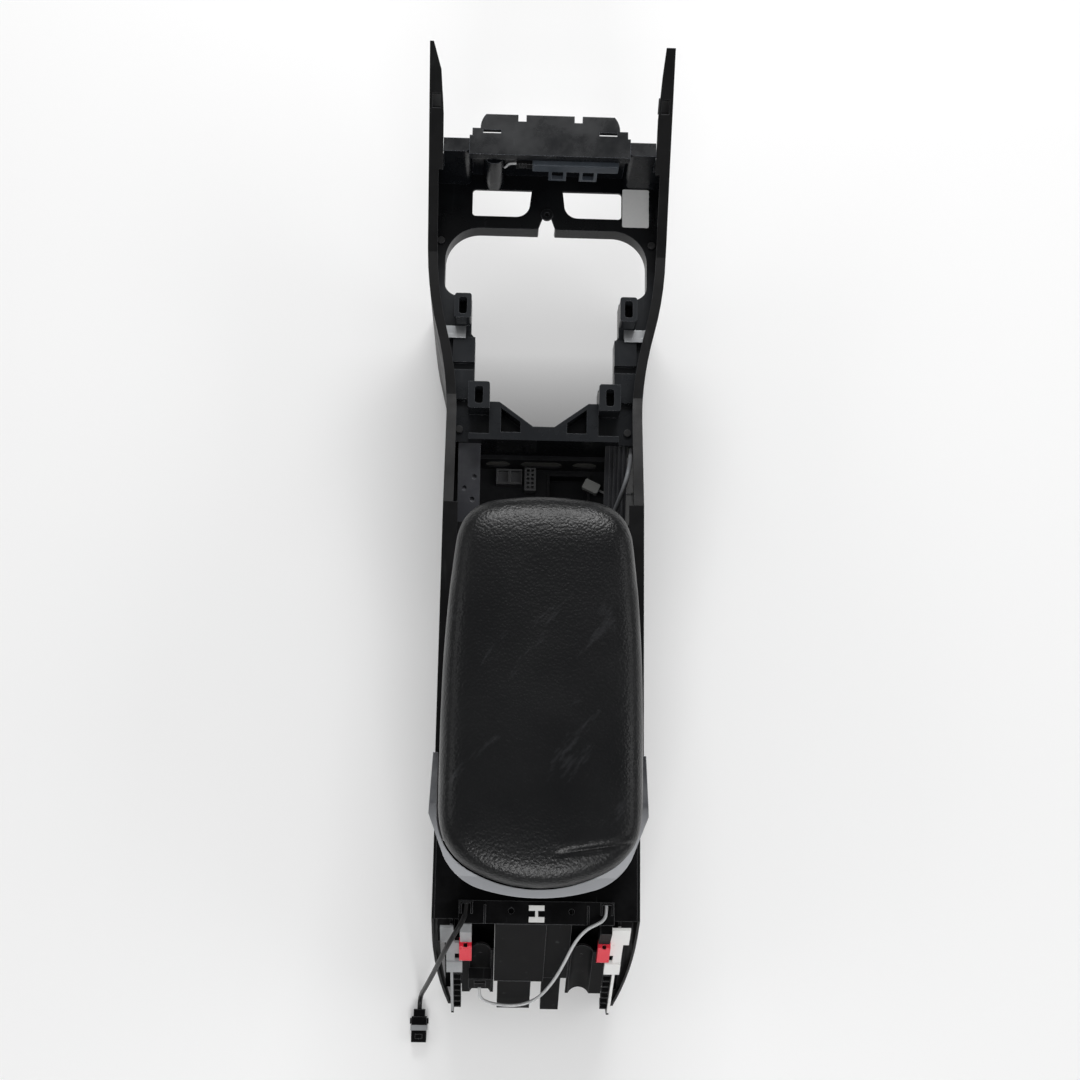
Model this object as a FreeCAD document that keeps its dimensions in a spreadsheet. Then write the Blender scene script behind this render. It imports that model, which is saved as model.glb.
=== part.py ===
import FreeCAD, Part
import math
import os
import re
import Sketcher

# Center console of a car with its trim lifted out: two side panels, a deck with the gear lever opening,
# a front bridge, a storage bin under a hinged armrest, and the rear frame with its air duct and leads.
# +Y points to the dashboard, +X to the right, +Z up. The origin is on the floor below the middle.

SIZES = {
    # shell in plan
    "front_end": 520, "rear_end": 520, "front_half": 135, "body_half": 108, "wall": 2.6, "taper_front": 330,
    "taper_rear": 120, "fit_gap": 0.3, "tail_start": 430, "tail_end": 509, "tail_radius": 205, "flange": 16,
    "flange_thick": 2.6, "lug_length": 18, "lug_thick": 4,
    # side panel seen from the side
    "tip_top": 335, "tip_height": 30, "tip_nose": 14, "arm_root_y": 400, "arm_root_z": 270,
    "dip_front": 318, "dip_z": 230, "waist_rear": 150, "sill_y": 20, "sill_z": 258, "base_front": 330,
    "belly_y": 415, "belly_z": 170, "belly_radius": 260, "rear_top": 415, "toe_z": 40, "toe_back": 16,
    "arm_window_y": 458, "arm_window_length": 14, "arm_window_width": 9, "arm_window_floor": 288,
    "tip_start": 440, "tip_bend": 494, "tip_step": 3, "left_tip": 4, "right_tip": 10, "crease_z": 96,
    "crease_height": 70, "crease_depth": 0.9, "slim_flange": 11, "crease_rear": 380,
    # deck and gear lever opening
    "deck_z": 200, "deck_thick": 3, "deck_front": 425, "deck_lip": 7, "plate_depth": 63, "beam_rear": 104,
    "opening_half": 116, "opening_corner": 40, "shoulder_y": 278, "shoulder_corner": 16, "throat_half": 84,
    "throat_y": 232, "waist_half": 79, "rim_wall": 2.5, "rim_depth": 22, "vee_y": 148, "vee_half": 50,
    "vee_drop": 28, "vee_floor_half": 12, "vee_rise": 12, "beam_depth": 7, "cross_wall": 3,
    "cross_drop": 50, "window_inner": 20, "window_outer": 86.5, "window_margin": 15, "window_length": 33,
    "window_corner": 16, "window_round": 4, "notch_half": 10, "notch_taper": 5, "notch_depth": 14,
    "waist_step": 5, "shoulder_slant": 6, "window_slant": 2, "cell_inner": 26, "cell_wall": 2,
    "cell_front": 7, "cell_back": 5, "vee_lift": 2,
    # clip sockets and ledges beside the opening
    "upper_boss_width": 19, "upper_boss_length": 29, "lower_boss_width": 24, "lower_boss_length": 31,
    "lower_boss_half": 61, "boss_rise": 26, "socket_width": 9, "socket_length": 20, "ledge_rise": 6,
    "ledge_outer": 104, "ledge_gap": 9, "ledge_length": 30, "boss_round": 3, "deck_screw_y": 345,
    "rear_screw_y": 118, "screw_inset": 11, "screw_radius": 1.5, "screw_head": 4.2,
    "screw_head_height": 2.4, "screw_length": 9, "center_hole": 2.75, "center_hole_back": 45,
    "center_boss": 7, "center_rise": 2, "clip_length": 13, "clip_width": 26, "clip_margin": 2.9,
    "clip_sheet": 1, "clip_rise": 8, "boss_back": 7, "lower_boss_back": 12, "ledge_back": 6,
    "ledge_extra": 5, "screw_play": 0.4, "pilot_play": 0.1, "clip_back": 4, "clip_hook": 4,
    # front bridge and its electronic module
    "bridge_top": 285, "bridge_inner": 87, "block_depth": 16, "block_back": 9, "bridge_shell": 3,
    "block_shoulder": 45, "block_round": 9, "bar_depth": 23, "bar_height": 12, "bar_back": 13,
    "tab_reach": 26, "tab_dip": 8, "tab_thick": 6, "center_tab_half": 27, "side_tab_inner": 36,
    "side_tab_outer": 72, "bridge_slot_length": 20, "bridge_slot_width": 4, "bridge_slot_inner": 55,
    "tower_x": 62, "tower_radius": 12, "tower_top": 268, "module_left": 19, "module_right": 78,
    "module_depth": 16, "module_height": 16, "module_drop": 2, "module_overhang": 5, "hook_width": 10,
    "clip_foot_width": 20, "clip_foot_drop": 27, "module_round": 1.5, "plug_length": 18, "plug_height": 11,
    "plug_depth": 11, "lead_radius": 1.4, "block_drop": 2, "tab_shoulder": 6, "tower_bore": 30,
    "hook_depth": 6, "hook_inset": 8, "clip_foot_x": 35, "clip_foot_wall": 3.5, "clip_foot_back": 3,
    "clip_foot_thick": 5, "plug_inset": 2, "plug_lift": 3, "plug_groove": 1.6,
    # storage bin and the socket panel in front of it
    "bin_half": 85, "bin_rear": 332, "bin_wall": 2.5, "bin_floor_z": 95, "rim_z": 250, "rim_thick": 3,
    "bin_round": 14, "bin_front": 0, "bin_lug_front": 60, "bin_lug_rear": 225, "bin_screw_x": 96,
    "panel_half": 91, "sheet_thick": 2.5, "panel_floor_z": 118, "panel_lip": 8, "panel_lean": 3.5,
    "slot_inner": 36, "slot_outer": 64, "slot_center_half": 24, "slot_radius": 8, "slot_depth": 1.1,
    "slot_z": 134, "socket_left": 52, "socket_right": 22, "socket_front": 94, "socket_depth": 18,
    "socket_rise": 9, "socket_rim": 2, "strip_right": 6, "strip_width": 13, "strip_rear": 67,
    "strip_rise": 15, "pin_size": 3.4, "frame_left": 8, "frame_right": 57, "frame_front": 90,
    "frame_depth": 34, "frame_rise": 5, "frame_rim": 2.2, "frame_well": 20, "rail_inner": 70,
    "rail_outer": 95, "rail_thick": 3, "rail_front_z": 196, "rail_rear_z": 160, "rail_skirt": 34,
    "rail_rib": 2, "rivet_hole": 2.6, "rivet_depth": 1.6, "rim_margin": 3, "pin_margin": 2.2,
    "pin_gap": 1.6, "pin_rows": 5, "pin_depth": 8, "rail_pitch": 5,
    # rear frame
    "shelf_z": 220, "shelf_thick": 3, "shelf_front": 336, "riser_y": 396, "plate_z": 238, "plate_rear": 419,
    "lip_drop": 13, "cheek_x": 86, "cheek_thick": 3, "cheek_front": 340, "cheek_foot": 400,
    "cheek_knee": 90, "window_foot": 66, "window_floor": 30, "window_top": 126, "cross_floor": 100,
    "foot_inner": 58, "foot_thick": 3, "foot_length": 80, "foot_rear": 490, "bolt_x": 72, "bolt_y": 450,
    "bolt_hole": 3.5, "rear_lug_front": 345, "rear_lug_rear": 392, "comb_count": 7, "comb_pitch": 11,
    "comb_reach": 8, "comb_thick": 2, "comb_floor": 48, "catch_x": 72, "catch_size": 13, "catch_rise": 7,
    "catch_wall": 2, "plate_half": 80, "plate_rib": 2, "web_back": 20, "web_thick": 2.5, "web_low_x": 95.6,
    "web_top_x": 103, "web_knee": 150, "web_top": 206, "web_foot": 60, "cheek_drop": 8, "window_front": 8,
    "window_in": 26, "comb_in": 2, "comb_depth": 12, "plate_rib_x": 52, "left_hole_x": 26,
    "right_hole_x": 36, "plate_hole": 2.8, "plate_hole_back": 10,
    # rear duct, channels, brackets and clips
    "duct_left": 42, "duct_right": 37, "duct_step_x": 11, "duct_step": 4, "duct_floor": 130,
    "duct_back": 13, "duct_wall": 2.5, "spout_left": 38, "spout_right": 2, "spout_floor": 77,
    "spout_depth": 22, "tongue_left": 10, "tongue_right": 30, "tongue_floor": 71, "tongue_depth": 12,
    "channel_radius": 15, "channel_wall": 2.2, "channel_top": 158, "channel_floor": 78,
    "channel_ledge": 140, "groove_half": 11.5, "groove_rise": 7, "groove_in": 3, "wing_x": 77,
    "wing_in": 16, "bracket_outer": 99, "bracket_inner": 79, "bracket_top": 216, "bracket_waist": 190,
    "bracket_foot": 138, "bracket_thick": 3, "bracket_off": 4, "strap_inner": 84, "strap_outer": 93,
    "hasp_inner": 76, "hasp_top": 157, "hasp_depth": 5, "rib_foot": 52, "rib_off": 0.2, "left_step": 6,
    "backing_inner": 68, "backing_foot": 170, "post_inner": 66, "post_outer": 78, "post_foot": 202,
    "post_depth": 9, "red_inner": 66, "red_outer": 79, "red_top": 200, "red_foot": 165, "red_depth": 9,
    "red_slot": 4, "tee_half": 8, "tee_front": 400, "tee_rear": 417, "tee_bar": 5.5, "tee_stem": 3,
    "tee_thick": 4, "tongue_in": 2, "tongue_lean": 6, "rib_drop": 4, "red_nose": 9, "red_slot_depth": 3,
    # armrest and its hinge
    "rest_half": 102, "rest_front_half": 52, "rest_front": 13, "rest_crown": 4, "rest_neck_half": 91,
    "rest_neck_y": 31.214, "rest_wide_y": 210, "rest_rear_half": 70, "rest_side_rear": 364,
    "rest_rear": 382, "rest_front_corner": 46.456, "rest_top": 345, "rest_edge": 22, "seam_z": 283,
    "shell_floor": 262, "shell_inset": 2.5, "shell_wall": 2.5, "liner_thick": 2.5, "liner_up": 3,
    "liner_rear": 318, "hinge_y": 352, "hinge_z": 272, "pin_radius": 4, "pin_clearance": 0.05,
    "pin_over": 4, "knuckle": 7.6, "ear_x": 60, "ear_thick": 3, "ear_gap": 0.5, "arm_thick": 3,
    "arm_plate": 2.5, "hinge_foot": 3, "hinge_foot_front": 338, "hinge_foot_rear": 361,
    "hinge_foot_half": 75, "hinge_gap_half": 72, "hinge_screw_x": 70, "hinge_screw_inset": 5.5,
    "lid_screw_x": 42, "lid_screw_y": 328, "bumper_y": 22, "bumper_radius": 4.5, "arm_lead": 2,
    "arm_heel": 12, "arm_lip": 5, "ear_toe": 12, "hinge_relief": 38, "hinge_relief_inset": 8,
    "hinge_gap_depth": 6, "pin_head": 1.6, "pin_head_thick": 2,
    # grey trim round the rear of the armrest
    "trim_front": 248, "trim_half": 113, "trim_ear_half": 110, "trim_wide_y": 310, "trim_corner_half": 97,
    "trim_corner_y": 352, "trim_rear_half": 60, "trim_side_rear": 384, "trim_rear": 393, "trim_corner": 62,
    "trim_gap": 2.5, "trim_ear_z": 262, "trim_rear_z": 243, "trim_slope_front": 300, "trim_slope_rear": 372,
    # free leads
    "harness_radius": 2.6, "plug_half": 8.5, "plug_x": 126, "plug_front": 519, "plug_rear": 555,
    "plug_floor": 1, "plug_top": 13, "collar_front": 536, "collar_length": 6, "collar_wall": 1,
    "wire_radius": 1.7, "wire_plug_off": 2.7, "wire_plug_depth": 12, "wire_plug_floor": 108,
    "wire_plug_height": 18, "wire_plug_half": 12.5, "side_lead_radius": 2.6, "aux_length": 19,
    "aux_width": 12, "aux_height": 9, "aux_turn": 25, "plug_neck": 8, "plug_step": 2, "plug_latch": 4,
    "wire_boss": 4, "wire_boss_drop": 3, "wire_boss_lift": 8, "aux_chamfer": 1.2,
}

# taper of the shell in plan: two equal arcs that leave both straight runs without a kink
TAPER = "((taper_front - taper_rear)^2 + (front_half - body_half)^2) / (4 * (front_half - body_half))"
LEAN = "(rear_end - rear_top) / (shelf_z - toe_z)"

doc = FreeCAD.newDocument("center_console")
dims = doc.addObject("Spreadsheet::Sheet", "dims")
for row, (alias, value) in enumerate(SIZES.items(), start=1):
    dims.set(f"A{row}", alias)
    dims.set(f"B{row}", str(value))
    dims.setAlias(f"B{row}", alias)
doc.recompute()

subparts = []
AXES = {"XY": FreeCAD.Vector(0, 0, 1), "YZ": FreeCAD.Vector(1, 0, 0), "XZ": FreeCAD.Vector(0, -1, 0)}
TURNS = {
    "XY": FreeCAD.Rotation(),
    "YZ": FreeCAD.Rotation(FreeCAD.Vector(1, 1, 1), 120),
    "XZ": FreeCAD.Rotation(FreeCAD.Vector(1, 0, 0), 90),
}


# expressions and outlines

def ref(text):
    def aliased(word):
        return "dims." + word.group() if word.group() in SIZES else word.group()
    return re.sub(r"[a-z]\w+", aliased, str(text))


def number(text):
    return float(dims.evalExpression(ref(text)))


def bow(half_chord, rise):
    return f"((({half_chord})^2 + ({rise})^2) / (2 * ({rise})))"


def on_slope(height, out="0"):
    return f"(-(rear_top + {out}) - (shelf_z - ({height})) * {LEAN})"


def rect(left, low, right, high):
    return [(left, low), (right, low), (right, high), (left, high)]


def round_rect(left, low, right, high, radius):
    return [
        (f"{left} + {radius}", low), (f"{right} - ({radius})", low, "out", radius),
        (right, f"{low} + {radius}"), (right, f"{high} - ({radius})", "out", radius),
        (f"{right} - ({radius})", high), (f"{left} + {radius}", high, "out", radius),
        (left, f"{high} - ({radius})"), (left, f"{low} + {radius}", "out", radius),
    ]


def obround(left, low, right, radius):
    return [
        (f"{left} + {radius}", low), (f"{right} - {radius}", low, "out", radius),
        (right, f"{low} + {radius}", "out", radius), (f"{right} - {radius}", f"{low} + 2 * {radius}"),
        (f"{left} + {radius}", f"{low} + 2 * {radius}", "out", radius),
        (left, f"{low} + {radius}", "out", radius),
    ]


def back(path):
    flip = {"in": "out", "out": "in"}
    arcs = [point[2:] for point in path]
    turned = []
    for index in reversed(range(len(path))):
        arc = arcs[index - 1] if index else ()
        turned.append(path[index][:2] + ((flip[arc[0]], arc[1]) if arc else ()))
    return turned


def mirror(path):
    arcs = [point[2:] for point in path]
    return [
        (f"-({path[index][0]})", path[index][1]) + arcs[index - 1] for index in reversed(range(len(path)))
    ]


def both(path):
    return path, mirror(path)


def side_run(inset, rear, front):
    middle_x = f"(front_half + body_half) / 2 - ({inset})"
    return [
        (f"body_half - ({inset})", rear), (f"body_half - ({inset})", "taper_rear", "in", TAPER),
        (middle_x, "(taper_front + taper_rear) / 2", "out", TAPER),
        (f"front_half - ({inset})", "taper_front"), (f"front_half - ({inset})", front),
    ]


def shell_run(inset):
    turned = f"(tail_radius - ({inset}))"
    tip = f"body_half - tail_radius + sqrt({turned}^2 - (tail_end - tail_start)^2)"
    return [(tip, "-tail_end", "out", turned), *side_run(inset, "-tail_start", "front_end")]


def arc_middle(start, end, turn, radius):
    chord = end - start
    half = chord.Length / 2
    sag = radius - math.sqrt(max(radius * radius - half * half, 0))
    right = FreeCAD.Vector(chord.y, -chord.x, 0).normalize()
    return (start + end) / 2 + right * (sag if turn == "out" else -sag)


def pin_point(sketch, geometry, end, x, y):
    for kind, axis, text in (("DistanceX", -2, x), ("DistanceY", -1, y)):
        if str(text) == "0":
            sketch.addConstraint(Sketcher.Constraint("PointOnObject", geometry, end, axis))
            continue
        index = sketch.addConstraint(Sketcher.Constraint(kind, -1, 1, geometry, end, number(text)))
        sketch.setExpression(f"Constraints[{index}]", ref(text))


def draw(sketch, path):
    points = [FreeCAD.Vector(number(point[0]), number(point[1]), 0) for point in path]
    ends = []
    for index, point in enumerate(path):
        start, end = points[index], points[(index + 1) % len(path)]
        if len(point) == 2:
            geometry = sketch.addGeometry(Part.LineSegment(start, end), False)
            ends.append((geometry, 1, 2))
            continue
        turn, radius = point[2:]
        middle = arc_middle(start, end, turn, number(radius))
        geometry = sketch.addGeometry(Part.Arc(start, middle, end), False)
        ends.append((geometry, 1, 2) if turn == "out" else (geometry, 2, 1))
    for index, (geometry, first, last) in enumerate(ends):
        following = ends[(index + 1) % len(ends)]
        sketch.addConstraint(Sketcher.Constraint("Coincident", geometry, last, following[0], following[1]))
    for point, (geometry, first, last) in zip(path, ends):
        pin_point(sketch, geometry, first, point[0], point[1])
        if len(point) > 2:
            index = sketch.addConstraint(Sketcher.Constraint("Radius", geometry, number(point[3])))
            sketch.setExpression(f"Constraints[{index}]", ref(point[3]))


def draw_circle(sketch, x, y, radius):
    center = FreeCAD.Vector(number(x), number(y), 0)
    geometry = sketch.addGeometry(Part.Circle(center, FreeCAD.Vector(0, 0, 1), number(radius)), False)
    pin_point(sketch, geometry, 3, x, y)
    index = sketch.addConstraint(Sketcher.Constraint("Radius", geometry, number(radius)))
    sketch.setExpression(f"Constraints[{index}]", ref(radius))


def draw_all(sketch, paths):
    for path in paths:
        if path[0] == "circle":
            draw_circle(sketch, *path[1:])
        else:
            draw(sketch, path)


# bodies with pads, pockets and fillets

def new_body(label):
    body = doc.addObject("PartDesign::Body", label)
    body.Label = label
    subparts.append(body)
    return body


def place_sketch(body, plane, start, paths):
    sketch = body.newObject("Sketcher::SketchObject", body.Name + "_sketch")
    origin = next(item for item in body.Origin.OriginFeatures if item.Role == plane + "_Plane")
    sketch.AttachmentSupport = (origin, [""])
    sketch.MapMode = "FlatFace"
    away = f"-({start})" if plane == "XZ" else start
    sketch.setExpression("AttachmentOffset.Base.z", ref(away))
    draw_all(sketch, paths)
    return sketch


def pad(body, plane, start, length, *paths):
    sketch = place_sketch(body, plane, start, paths)
    feature = body.newObject("PartDesign::Pad", body.Name + "_pad")
    feature.Profile = sketch
    feature.setExpression("Length", ref(length))
    feature.Reversed = plane == "XZ"
    return feature


def pocket(body, plane, start, length, *paths):
    sketch = place_sketch(body, plane, start, paths)
    feature = body.newObject("PartDesign::Pocket", body.Name + "_pocket")
    feature.Profile = sketch
    feature.setExpression("Length", ref(length))
    feature.Reversed = plane != "XZ"
    return feature


def soften(body, radius, chosen):
    doc.recompute()
    base = body.Tip
    names = [f"Edge{index}" for index, edge in enumerate(base.Shape.Edges, start=1) if chosen(edge)]
    feature = body.newObject("PartDesign::Fillet", body.Name + "_fillet")
    feature.Base = (base, names)
    feature.setExpression("Radius", ref(radius))
    return feature


def upright(edge):
    first, last = edge.Vertexes[0].Point, edge.Vertexes[-1].Point
    return abs(first.x - last.x) + abs(first.y - last.y) < 1e-6 and abs(first.z - last.z) > 1e-6


def level(edge, height):
    return all(abs(vertex.Z - height) < 1e-4 for vertex in edge.Vertexes)


# loose solids and booleans

def extrusion(name, plane, start, length, *paths):
    sketch = doc.addObject("Sketcher::SketchObject", name + "_sketch")
    sketch.Placement = FreeCAD.Placement(FreeCAD.Vector(), TURNS[plane])
    axis = {"XY": "z", "YZ": "x", "XZ": "y"}[plane]
    sketch.setExpression(f"Placement.Base.{axis}", ref(start))
    draw_all(sketch, paths)
    solid = doc.addObject("Part::Extrusion", name)
    solid.Base = sketch
    solid.DirMode = "Custom"
    solid.Dir = FreeCAD.Vector(0, 1, 0) if plane == "XZ" else AXES[plane]
    solid.setExpression("LengthFwd", ref(length))
    solid.Solid = True
    return solid


def cylinder(name, radius, height, x, y, z, turn=None):
    solid = doc.addObject("Part::Cylinder", name)
    if turn is not None:
        solid.Placement = FreeCAD.Placement(FreeCAD.Vector(), turn)
    for field, text in (("Radius", radius), ("Height", height)):
        solid.setExpression(field, ref(text))
    for axis, text in zip("xyz", (x, y, z)):
        solid.setExpression(f"Placement.Base.{axis}", ref(text))
    return solid


def boolean(kind, name, base, tool):
    solid = doc.addObject(f"Part::{kind}", name)
    solid.Base = base
    solid.Tool = tool
    return solid


def fuse(name, *pieces):
    solid = doc.addObject("Part::MultiFuse", name)
    solid.Shapes = list(pieces)
    return solid


def group(label, *pieces):
    solid = doc.addObject("Part::Compound", label)
    solid.Links = list(pieces)
    return keep(label, solid)


def keep(label, solid):
    solid.Label = label
    subparts.append(solid)
    return solid


# side panels: one wall bent in plan, trimmed to its side view, with a flange along the top and lugs inside

def top_edge(drop):
    path = [
        ("front_end", "tip_top"), ("arm_root_y", "arm_root_z"), ("dip_front", "dip_z"),
        ("waist_rear", "dip_z"), ("sill_y", "sill_z"), ("-trim_front", "sill_z"),
    ]
    return [(y, f"{z} - ({drop})") for y, z in path]


def lug(center, top):
    return rect(f"{center} - lug_length / 2", f"{top} - lug_thick", f"{center} + lug_length / 2", top)


def panel_profile():
    return [
        ("-(rear_end - toe_back)", "0"), ("base_front", "0", "in", "belly_radius"), ("belly_y", "belly_z"),
        ("front_end - tip_nose", "tip_top - tip_height"), ("front_end", "tip_top - tip_height / 2"),
        *top_edge("0"), ("-trim_front", "shelf_z"), ("-rear_top", "shelf_z"), ("-rear_end", "toe_z"),
    ]


def side_panels():
    everything = "2 * front_half + 20"
    outside = extrusion("panel_side_view", "YZ", "-front_half - 10", everything, panel_profile())
    under_deck = "deck_z - deck_thick"
    under_shelf = "shelf_z - shelf_thick"
    ledges = extrusion(
        "panel_ledges", "YZ", "-front_half - 10", everything,
        top_edge("0") + back(top_edge("flange_thick")),
        lug("deck_screw_y", under_deck), lug("rear_screw_y", under_deck),
        lug("-bin_lug_front", "rim_z - rim_thick"), lug("-bin_lug_rear", "rim_z - rim_thick"),
        lug("-rear_lug_front", under_shelf), lug("-rear_lug_rear", under_shelf),
        lug("arm_window_y + lug_length", "arm_window_floor"),
    )
    for label, side, tip_width in (("right_side_panel", 1, "right_tip"), ("left_side_panel", -1, "left_tip")):
        thin = shell_run("0") + back(shell_run("wall"))
        straight = ("-tail_start", "front_end")
        wide = side_run("0", *straight) + back(side_run("flange", *straight))
        crease = rect("body_half - crease_depth", "-crease_rear", "body_half + 1", "taper_rear - 10")
        window = rect(
            "front_half - wall - arm_window_width - 1", "arm_window_y",
            "front_half - wall - 1", "arm_window_y + arm_window_length",
        )
        tip = [
            ("front_half - flange - 1", "tip_start"), ("front_half - flange + tip_step", "tip_bend"),
            (f"front_half - {tip_width}", "front_end + 1"), ("front_half - flange - 1", "front_end + 1"),
        ]
        waist = ("sill_y", "arm_root_y")
        slim = side_run("slim_flange", *waist) + back(side_run("flange + 1", *waist))
        if side < 0:
            thin, wide, slim, crease, window, tip = map(mirror, (thin, wide, slim, crease, window, tip))
        bend = extrusion(label + "_bend", "XY", "0", "tip_top", thin)
        band = extrusion(label + "_band", "XY", "0", "tip_top", wide)
        skin = boolean("Common", label + "_skin", bend, outside)
        shell = fuse(label + "_shell", skin, boolean("Common", label + "_shelf", band, ledges))
        under_rim = "rim_z - rim_thick"
        pilots = [
            (f"{side} * {FRONT_SCREW_X}", "deck_screw_y", under_deck),
            (f"{side} * {REAR_SCREW_X}", "rear_screw_y", under_deck),
            (f"{side} * bin_screw_x", "-bin_lug_front", under_rim),
            (f"{side} * bin_screw_x", "-bin_lug_rear", under_rim),
        ]
        holes = fuse(
            label + "_cuts",
            extrusion(label + "_window", "XY", "arm_window_floor", "tip_top - arm_window_floor", window),
            extrusion(label + "_crease", "XY", "crease_z", "crease_height", crease),
            extrusion(label + "_tip_cut", "XY", "dip_z", "tip_top", tip),
            extrusion(label + "_slim_cut", "XY", "dip_z - 2 * flange_thick", "tip_top", slim),
            *(cylinder(f"{label}_pilot_{index}", "screw_radius + pilot_play", "lug_thick + 2", x, y,
                       f"{top} - lug_thick - 1") for index, (x, y, top) in enumerate(pilots)),
        )
        keep(label, boolean("Cut", label, shell, holes))


# deck with the gear lever opening, clip sockets, ledges and the vee at its rear

FRONT_SCREW_X = "(front_half - wall - screw_inset)"
REAR_SCREW_X = "(body_half - wall - screw_inset)"
DECK_SCREWS = [(f"{sign}{x}", y) for x, y in ((FRONT_SCREW_X, "deck_screw_y"), (REAR_SCREW_X, "rear_screw_y"))
               for sign in ("", "-")]


def opening(grow):
    half = f"opening_half + {grow}"
    front = f"deck_front - plate_depth + {grow}"
    knee = f"throat_y - 2 * ledge_length - ledge_gap + waist_step - {grow}"
    run = [
        ("vee_floor_half", f"vee_y - vee_drop - {grow}"), ("vee_half", f"vee_y - {grow}"),
        (f"lower_boss_half + {grow}", f"vee_y - {grow}"), (f"lower_boss_half + {grow}", knee),
        (f"waist_half + {grow}", knee), (f"waist_half + {grow}", f"throat_y - ledge_back - {grow}"),
        (f"throat_half + {grow}", f"throat_y - {grow}"),
        (f"throat_half + {grow}", f"shoulder_y - shoulder_slant - {grow}"),
        ("opening_half - shoulder_corner", f"shoulder_y - {grow}", "out", f"shoulder_corner + {grow}"),
        (half, "shoulder_y + shoulder_corner"),
        (half, "deck_front - plate_depth - opening_corner", "out", f"opening_corner + {grow}"),
        ("opening_half - opening_corner", front),
    ]
    if grow == "0":
        run += [("notch_half", front), ("notch_half - notch_taper", f"{front} + notch_depth")]
    return run + mirror(run)


def deck_window():
    front = "deck_front - window_margin"
    rear = "deck_front - window_margin - window_length"
    return [
        ("window_inner + window_corner", rear), ("window_outer - window_round", rear, "out", "window_round"),
        ("window_outer", f"{rear} + window_round"),
        ("window_outer", f"{front} - window_round", "out", "window_round"),
        ("window_outer - window_round", front), ("window_inner - window_slant", front),
        ("window_inner", f"{rear} + window_corner", "out", "window_corner"),
    ]


def upper_boss():
    return rect("throat_half", "shoulder_y - boss_back - upper_boss_length",
                "throat_half + upper_boss_width", "shoulder_y - boss_back")


def lower_boss():
    return rect("lower_boss_half", "vee_y - lower_boss_back", "lower_boss_half + lower_boss_width",
                "vee_y - lower_boss_back + lower_boss_length")


def socket_hole(boss):
    left, low = (f"({boss[0][axis]} + {boss[2][axis]}) / 2" for axis in (0, 1))
    return rect(f"{left} - socket_width / 2", f"{low} - socket_length / 2",
                f"{left} + socket_width / 2", f"{low} + socket_length / 2")


def deck_frame():
    body = new_body("deck_frame")
    margin = "wall + fit_gap"
    under = "deck_z - deck_thick"
    outline = side_run(margin, "beam_rear", "deck_front + deck_lip")
    pad(body, "XY", under, "deck_thick", outline + mirror(outline))
    pad(body, "XY", "deck_z - rim_depth", "rim_depth", opening("rim_wall"))
    edge = f"body_half - ({margin})"
    pad(body, "XY", "deck_z - cross_drop", "cross_drop",
        rect(f"-({edge})", "beam_rear", edge, "beam_rear + cross_wall"))
    beam_front = "beam_rear + beam_depth"
    vee = [("vee_floor_half", "vee_y - vee_drop"), ("vee_half", "vee_y"), ("lower_boss_half", "vee_y")]
    vee_front = back(vee) + mirror(back(vee))
    vee_block = [("lower_boss_half", beam_front), *vee_front, ("-lower_boss_half", beam_front)]
    pad(body, "XY", "deck_z - rim_depth + vee_lift", "rim_depth - vee_lift + vee_rise", vee_block)
    beam = rect("-throat_half", "beam_rear", "throat_half", beam_front)
    pad(body, "XY", under, "deck_thick + vee_rise", beam)
    ledge_top = "throat_y - ledge_back"
    ledge_front = rect("waist_half", f"{ledge_top} - ledge_length", "ledge_outer", ledge_top)
    ledge_rear = rect("waist_half", f"{ledge_top} - ledge_gap - 2 * ledge_length - ledge_extra", "ledge_outer",
                      f"{ledge_top} - ledge_gap - ledge_length")
    pad(body, "XY", under, "deck_thick + ledge_rise", *both(ledge_front), *both(ledge_rear))
    pad(body, "XY", under, "deck_thick + boss_rise", *both(upper_boss()), *both(lower_boss()))
    pocket(body, "XY", "deck_z - rim_depth - 1", "rim_depth + boss_rise + 2", opening("0"))
    pocket(body, "XY", f"{under} - 1", "deck_thick + 2", *both(deck_window()))
    center_y = "deck_front - center_hole_back"
    pad(body, "XY", "deck_z - 1", "center_rise + 1", ("circle", "0", center_y, "center_boss"))
    sockets = both(socket_hole(upper_boss())) + both(socket_hole(lower_boss()))
    pocket(body, "XY", "deck_z", "boss_rise + 1", *sockets)
    cell = [("cell_inner", f"{beam_front} + cell_wall"), ("vee_half - cell_wall", f"{beam_front} + cell_wall"),
            ("vee_half - cell_wall", "vee_y - cell_front"), ("cell_inner", "vee_y - vee_drop + cell_back")]
    pocket(body, "XY", "deck_z + cell_wall - rim_depth / 2", "vee_rise + rim_depth / 2", *both(cell))
    pocket(body, "XY", f"{under} - 1", "deck_thick + 2",
           *(("circle", x, y, "screw_radius + screw_play") for x, y in DECK_SCREWS))
    pocket(body, "XY", "deck_z - deck_thick / 2", "deck_thick + center_rise", ("circle", "0", center_y, "center_hole"))
    top, rise = number("deck_z + boss_rise"), number("boss_rise")

    def boss_corner(edge):
        size = edge.BoundBox
        return upright(edge) and abs(size.ZMax - top) < 1e-4 and abs(size.ZLength - rise) < 1

    soften(body, "boss_round", boss_corner)


def screw(name, x, y, top):
    shank = cylinder(name + "_shank", "screw_radius", "screw_length", x, y, f"{top} - screw_length")
    head = cylinder(name + "_head", "screw_head", "screw_head_height", x, y, top)
    return fuse(name, shank, head)


def screw_set(label, places, top):
    group(label, *(screw(f"{label}_{index}", x, y, top) for index, (x, y) in enumerate(places)))


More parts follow.
